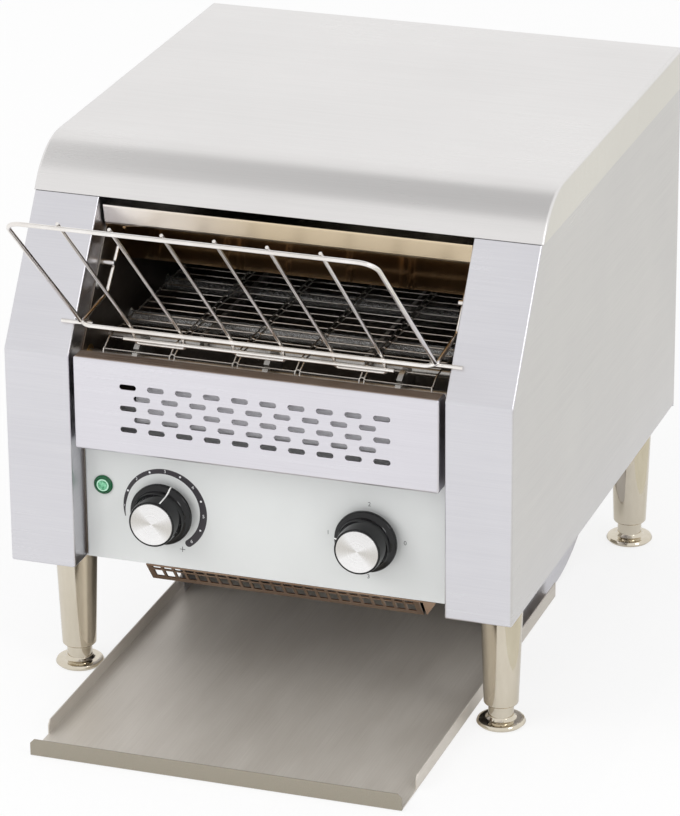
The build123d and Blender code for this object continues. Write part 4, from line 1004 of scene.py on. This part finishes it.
screws = Pattern("screws", Screw=screw_object)
one = screws.node("GeometryNodeObjectInfo", inputs={"Object": screws.given("Screw")}, output="Geometry")
screw_points = marked("screw_points", places, facings)
screw_piece = screws.made("casing_screw_set", screw_points, one, screw_steel)
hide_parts("casing_screws")
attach(screw_piece, "root")


# Studio: a large pale floor that keeps the shadow, a white surround, a warm and a grey card that
# only reflections see, three broad soft lamps and the camera.
def level_field(name, left, front, right, rear, height):
    """Level rectangle in the scene."""
    mesh = bpy.data.meshes.new(name)
    corners = ((left, front), (right, front), (right, rear), (left, rear))
    mesh.from_pydata([(x, y, height) for x, y in corners], [], [(0, 1, 2, 3)])
    return placed(name, mesh)


def ray(nodes, kind):
    """1 for rays of this kind, 0 for the rest."""
    return nodes.node("ShaderNodeLightPath", output=f"Is {kind} Ray")


def show(nodes, shader):
    """Makes the shader the material's surface."""
    nodes.tree.links.new(shader.socket, nodes.tree.nodes["Material Output"].inputs["Surface"])


floor_reach, floor_shade = 30, (0.98, 0.98, 0.98, 1)
floor = level_field("studio_floor", -floor_reach, -floor_reach, floor_reach, floor_reach, 0)
paper = Finish("floor_paper", Roughness=0.9, Base_Color=floor_shade)
white = paper.node("ShaderNodeEmission", inputs={"Color": (1, 1, 1, 1), "Strength": 1.0})
lit_share = ray(paper, "Camera") * 0.8 + ray(paper, "Glossy") * 0.36
shadowed = Shade(paper, paper.surface.outputs[0])
show(paper, paper.node("ShaderNodeMixShader", inputs={0: lit_share, 1: shadowed, 2: white}))
floor.data.materials.append(paper.material)

for name, place, height, colour in (
    ("warm_card", (0.25, -0.5, 3, 3), 0.5 * mm, (0.83, 0.82, 0.755, 1)),
    ("ceiling_card", (-1.1, -1.1, 1.1, 1.1), 2.5, (0.6, 0.6, 0.6, 1)),
):
    card = level_field(name, *place, height)
    grey = bpy.data.materials.new(name)
    grey.use_nodes = True
    grey.node_tree.nodes.remove(grey.node_tree.nodes["Principled BSDF"])
    glow = Nodes(grey.node_tree)
    show(glow, glow.node("ShaderNodeEmission", inputs={"Color": colour}))
    card.data.materials.append(grey)
    card.visible_camera = card.visible_diffuse = card.visible_transmission = card.visible_shadow = False

world = bpy.data.worlds.new("studio")
bpy.context.scene.world = world
world.use_nodes = True
sky = Nodes(world.node_tree)
direct = sky.math("MAXIMUM", ray(sky, "Camera"), ray(sky, "Glossy"))
direct = sky.math("MAXIMUM", direct, ray(sky, "Transmission"))
background = sky.tree.nodes["Background"]
background.inputs["Color"].default_value = (1, 1, 1, 1)
sky.tree.links.new((direct * 0.2 + 0.8).socket, background.inputs["Strength"])

lit_place = Vector((0, 0, 0.2))
for name, place, size, power, mirrored in (
    ("key_lamp", (-2.4, -2.2, 2.6), 2.4, 40.0, False),
    ("fill_lamp", (2.8, -1.4, 1.9), 1.0, 12.0, True),
    ("front_lamp", (-0.9, -3.2, 1.3), 2.6, 16.0, False),
):
    light = bpy.data.lights.new(name, "AREA")
    light.shape = "SQUARE"
    light.size = size
    light.energy = power
    lamp = placed(name, light)
    lamp.location = place
    lamp.visible_glossy = mirrored
    lamp.rotation_mode = "QUATERNION"
    lamp.rotation_quaternion = (lit_place - Vector(place)).to_track_quat("-Z", "Y")

azimuth, elevation, roll, distance = radians(19.22), radians(22.30), radians(-0.49), 3.193
target = Vector((0.0091, -0.004275, 0.1823))
back = Vector((sin(azimuth) * cos(elevation), -cos(azimuth) * cos(elevation), sin(elevation)))
right = Vector((cos(azimuth), sin(azimuth), 0))
up = back.cross(right)
turned_right = right * cos(roll) + up * sin(roll)
turned_up = up * cos(roll) - right * sin(roll)
sensor, focal_pixels, picture_height = 36, 4501, 816
lens = bpy.data.cameras.new("camera")
lens.sensor_width = sensor
lens.lens = sensor * focal_pixels / picture_height
camera = placed("camera", lens)
camera.matrix_world = Matrix.Translation(target + back * distance) @ Matrix(
    (turned_right, turned_up, back)
).transposed().to_4x4()
bpy.context.scene.camera = camera
bpy.context.scene.view_settings.view_transform = "Standard"
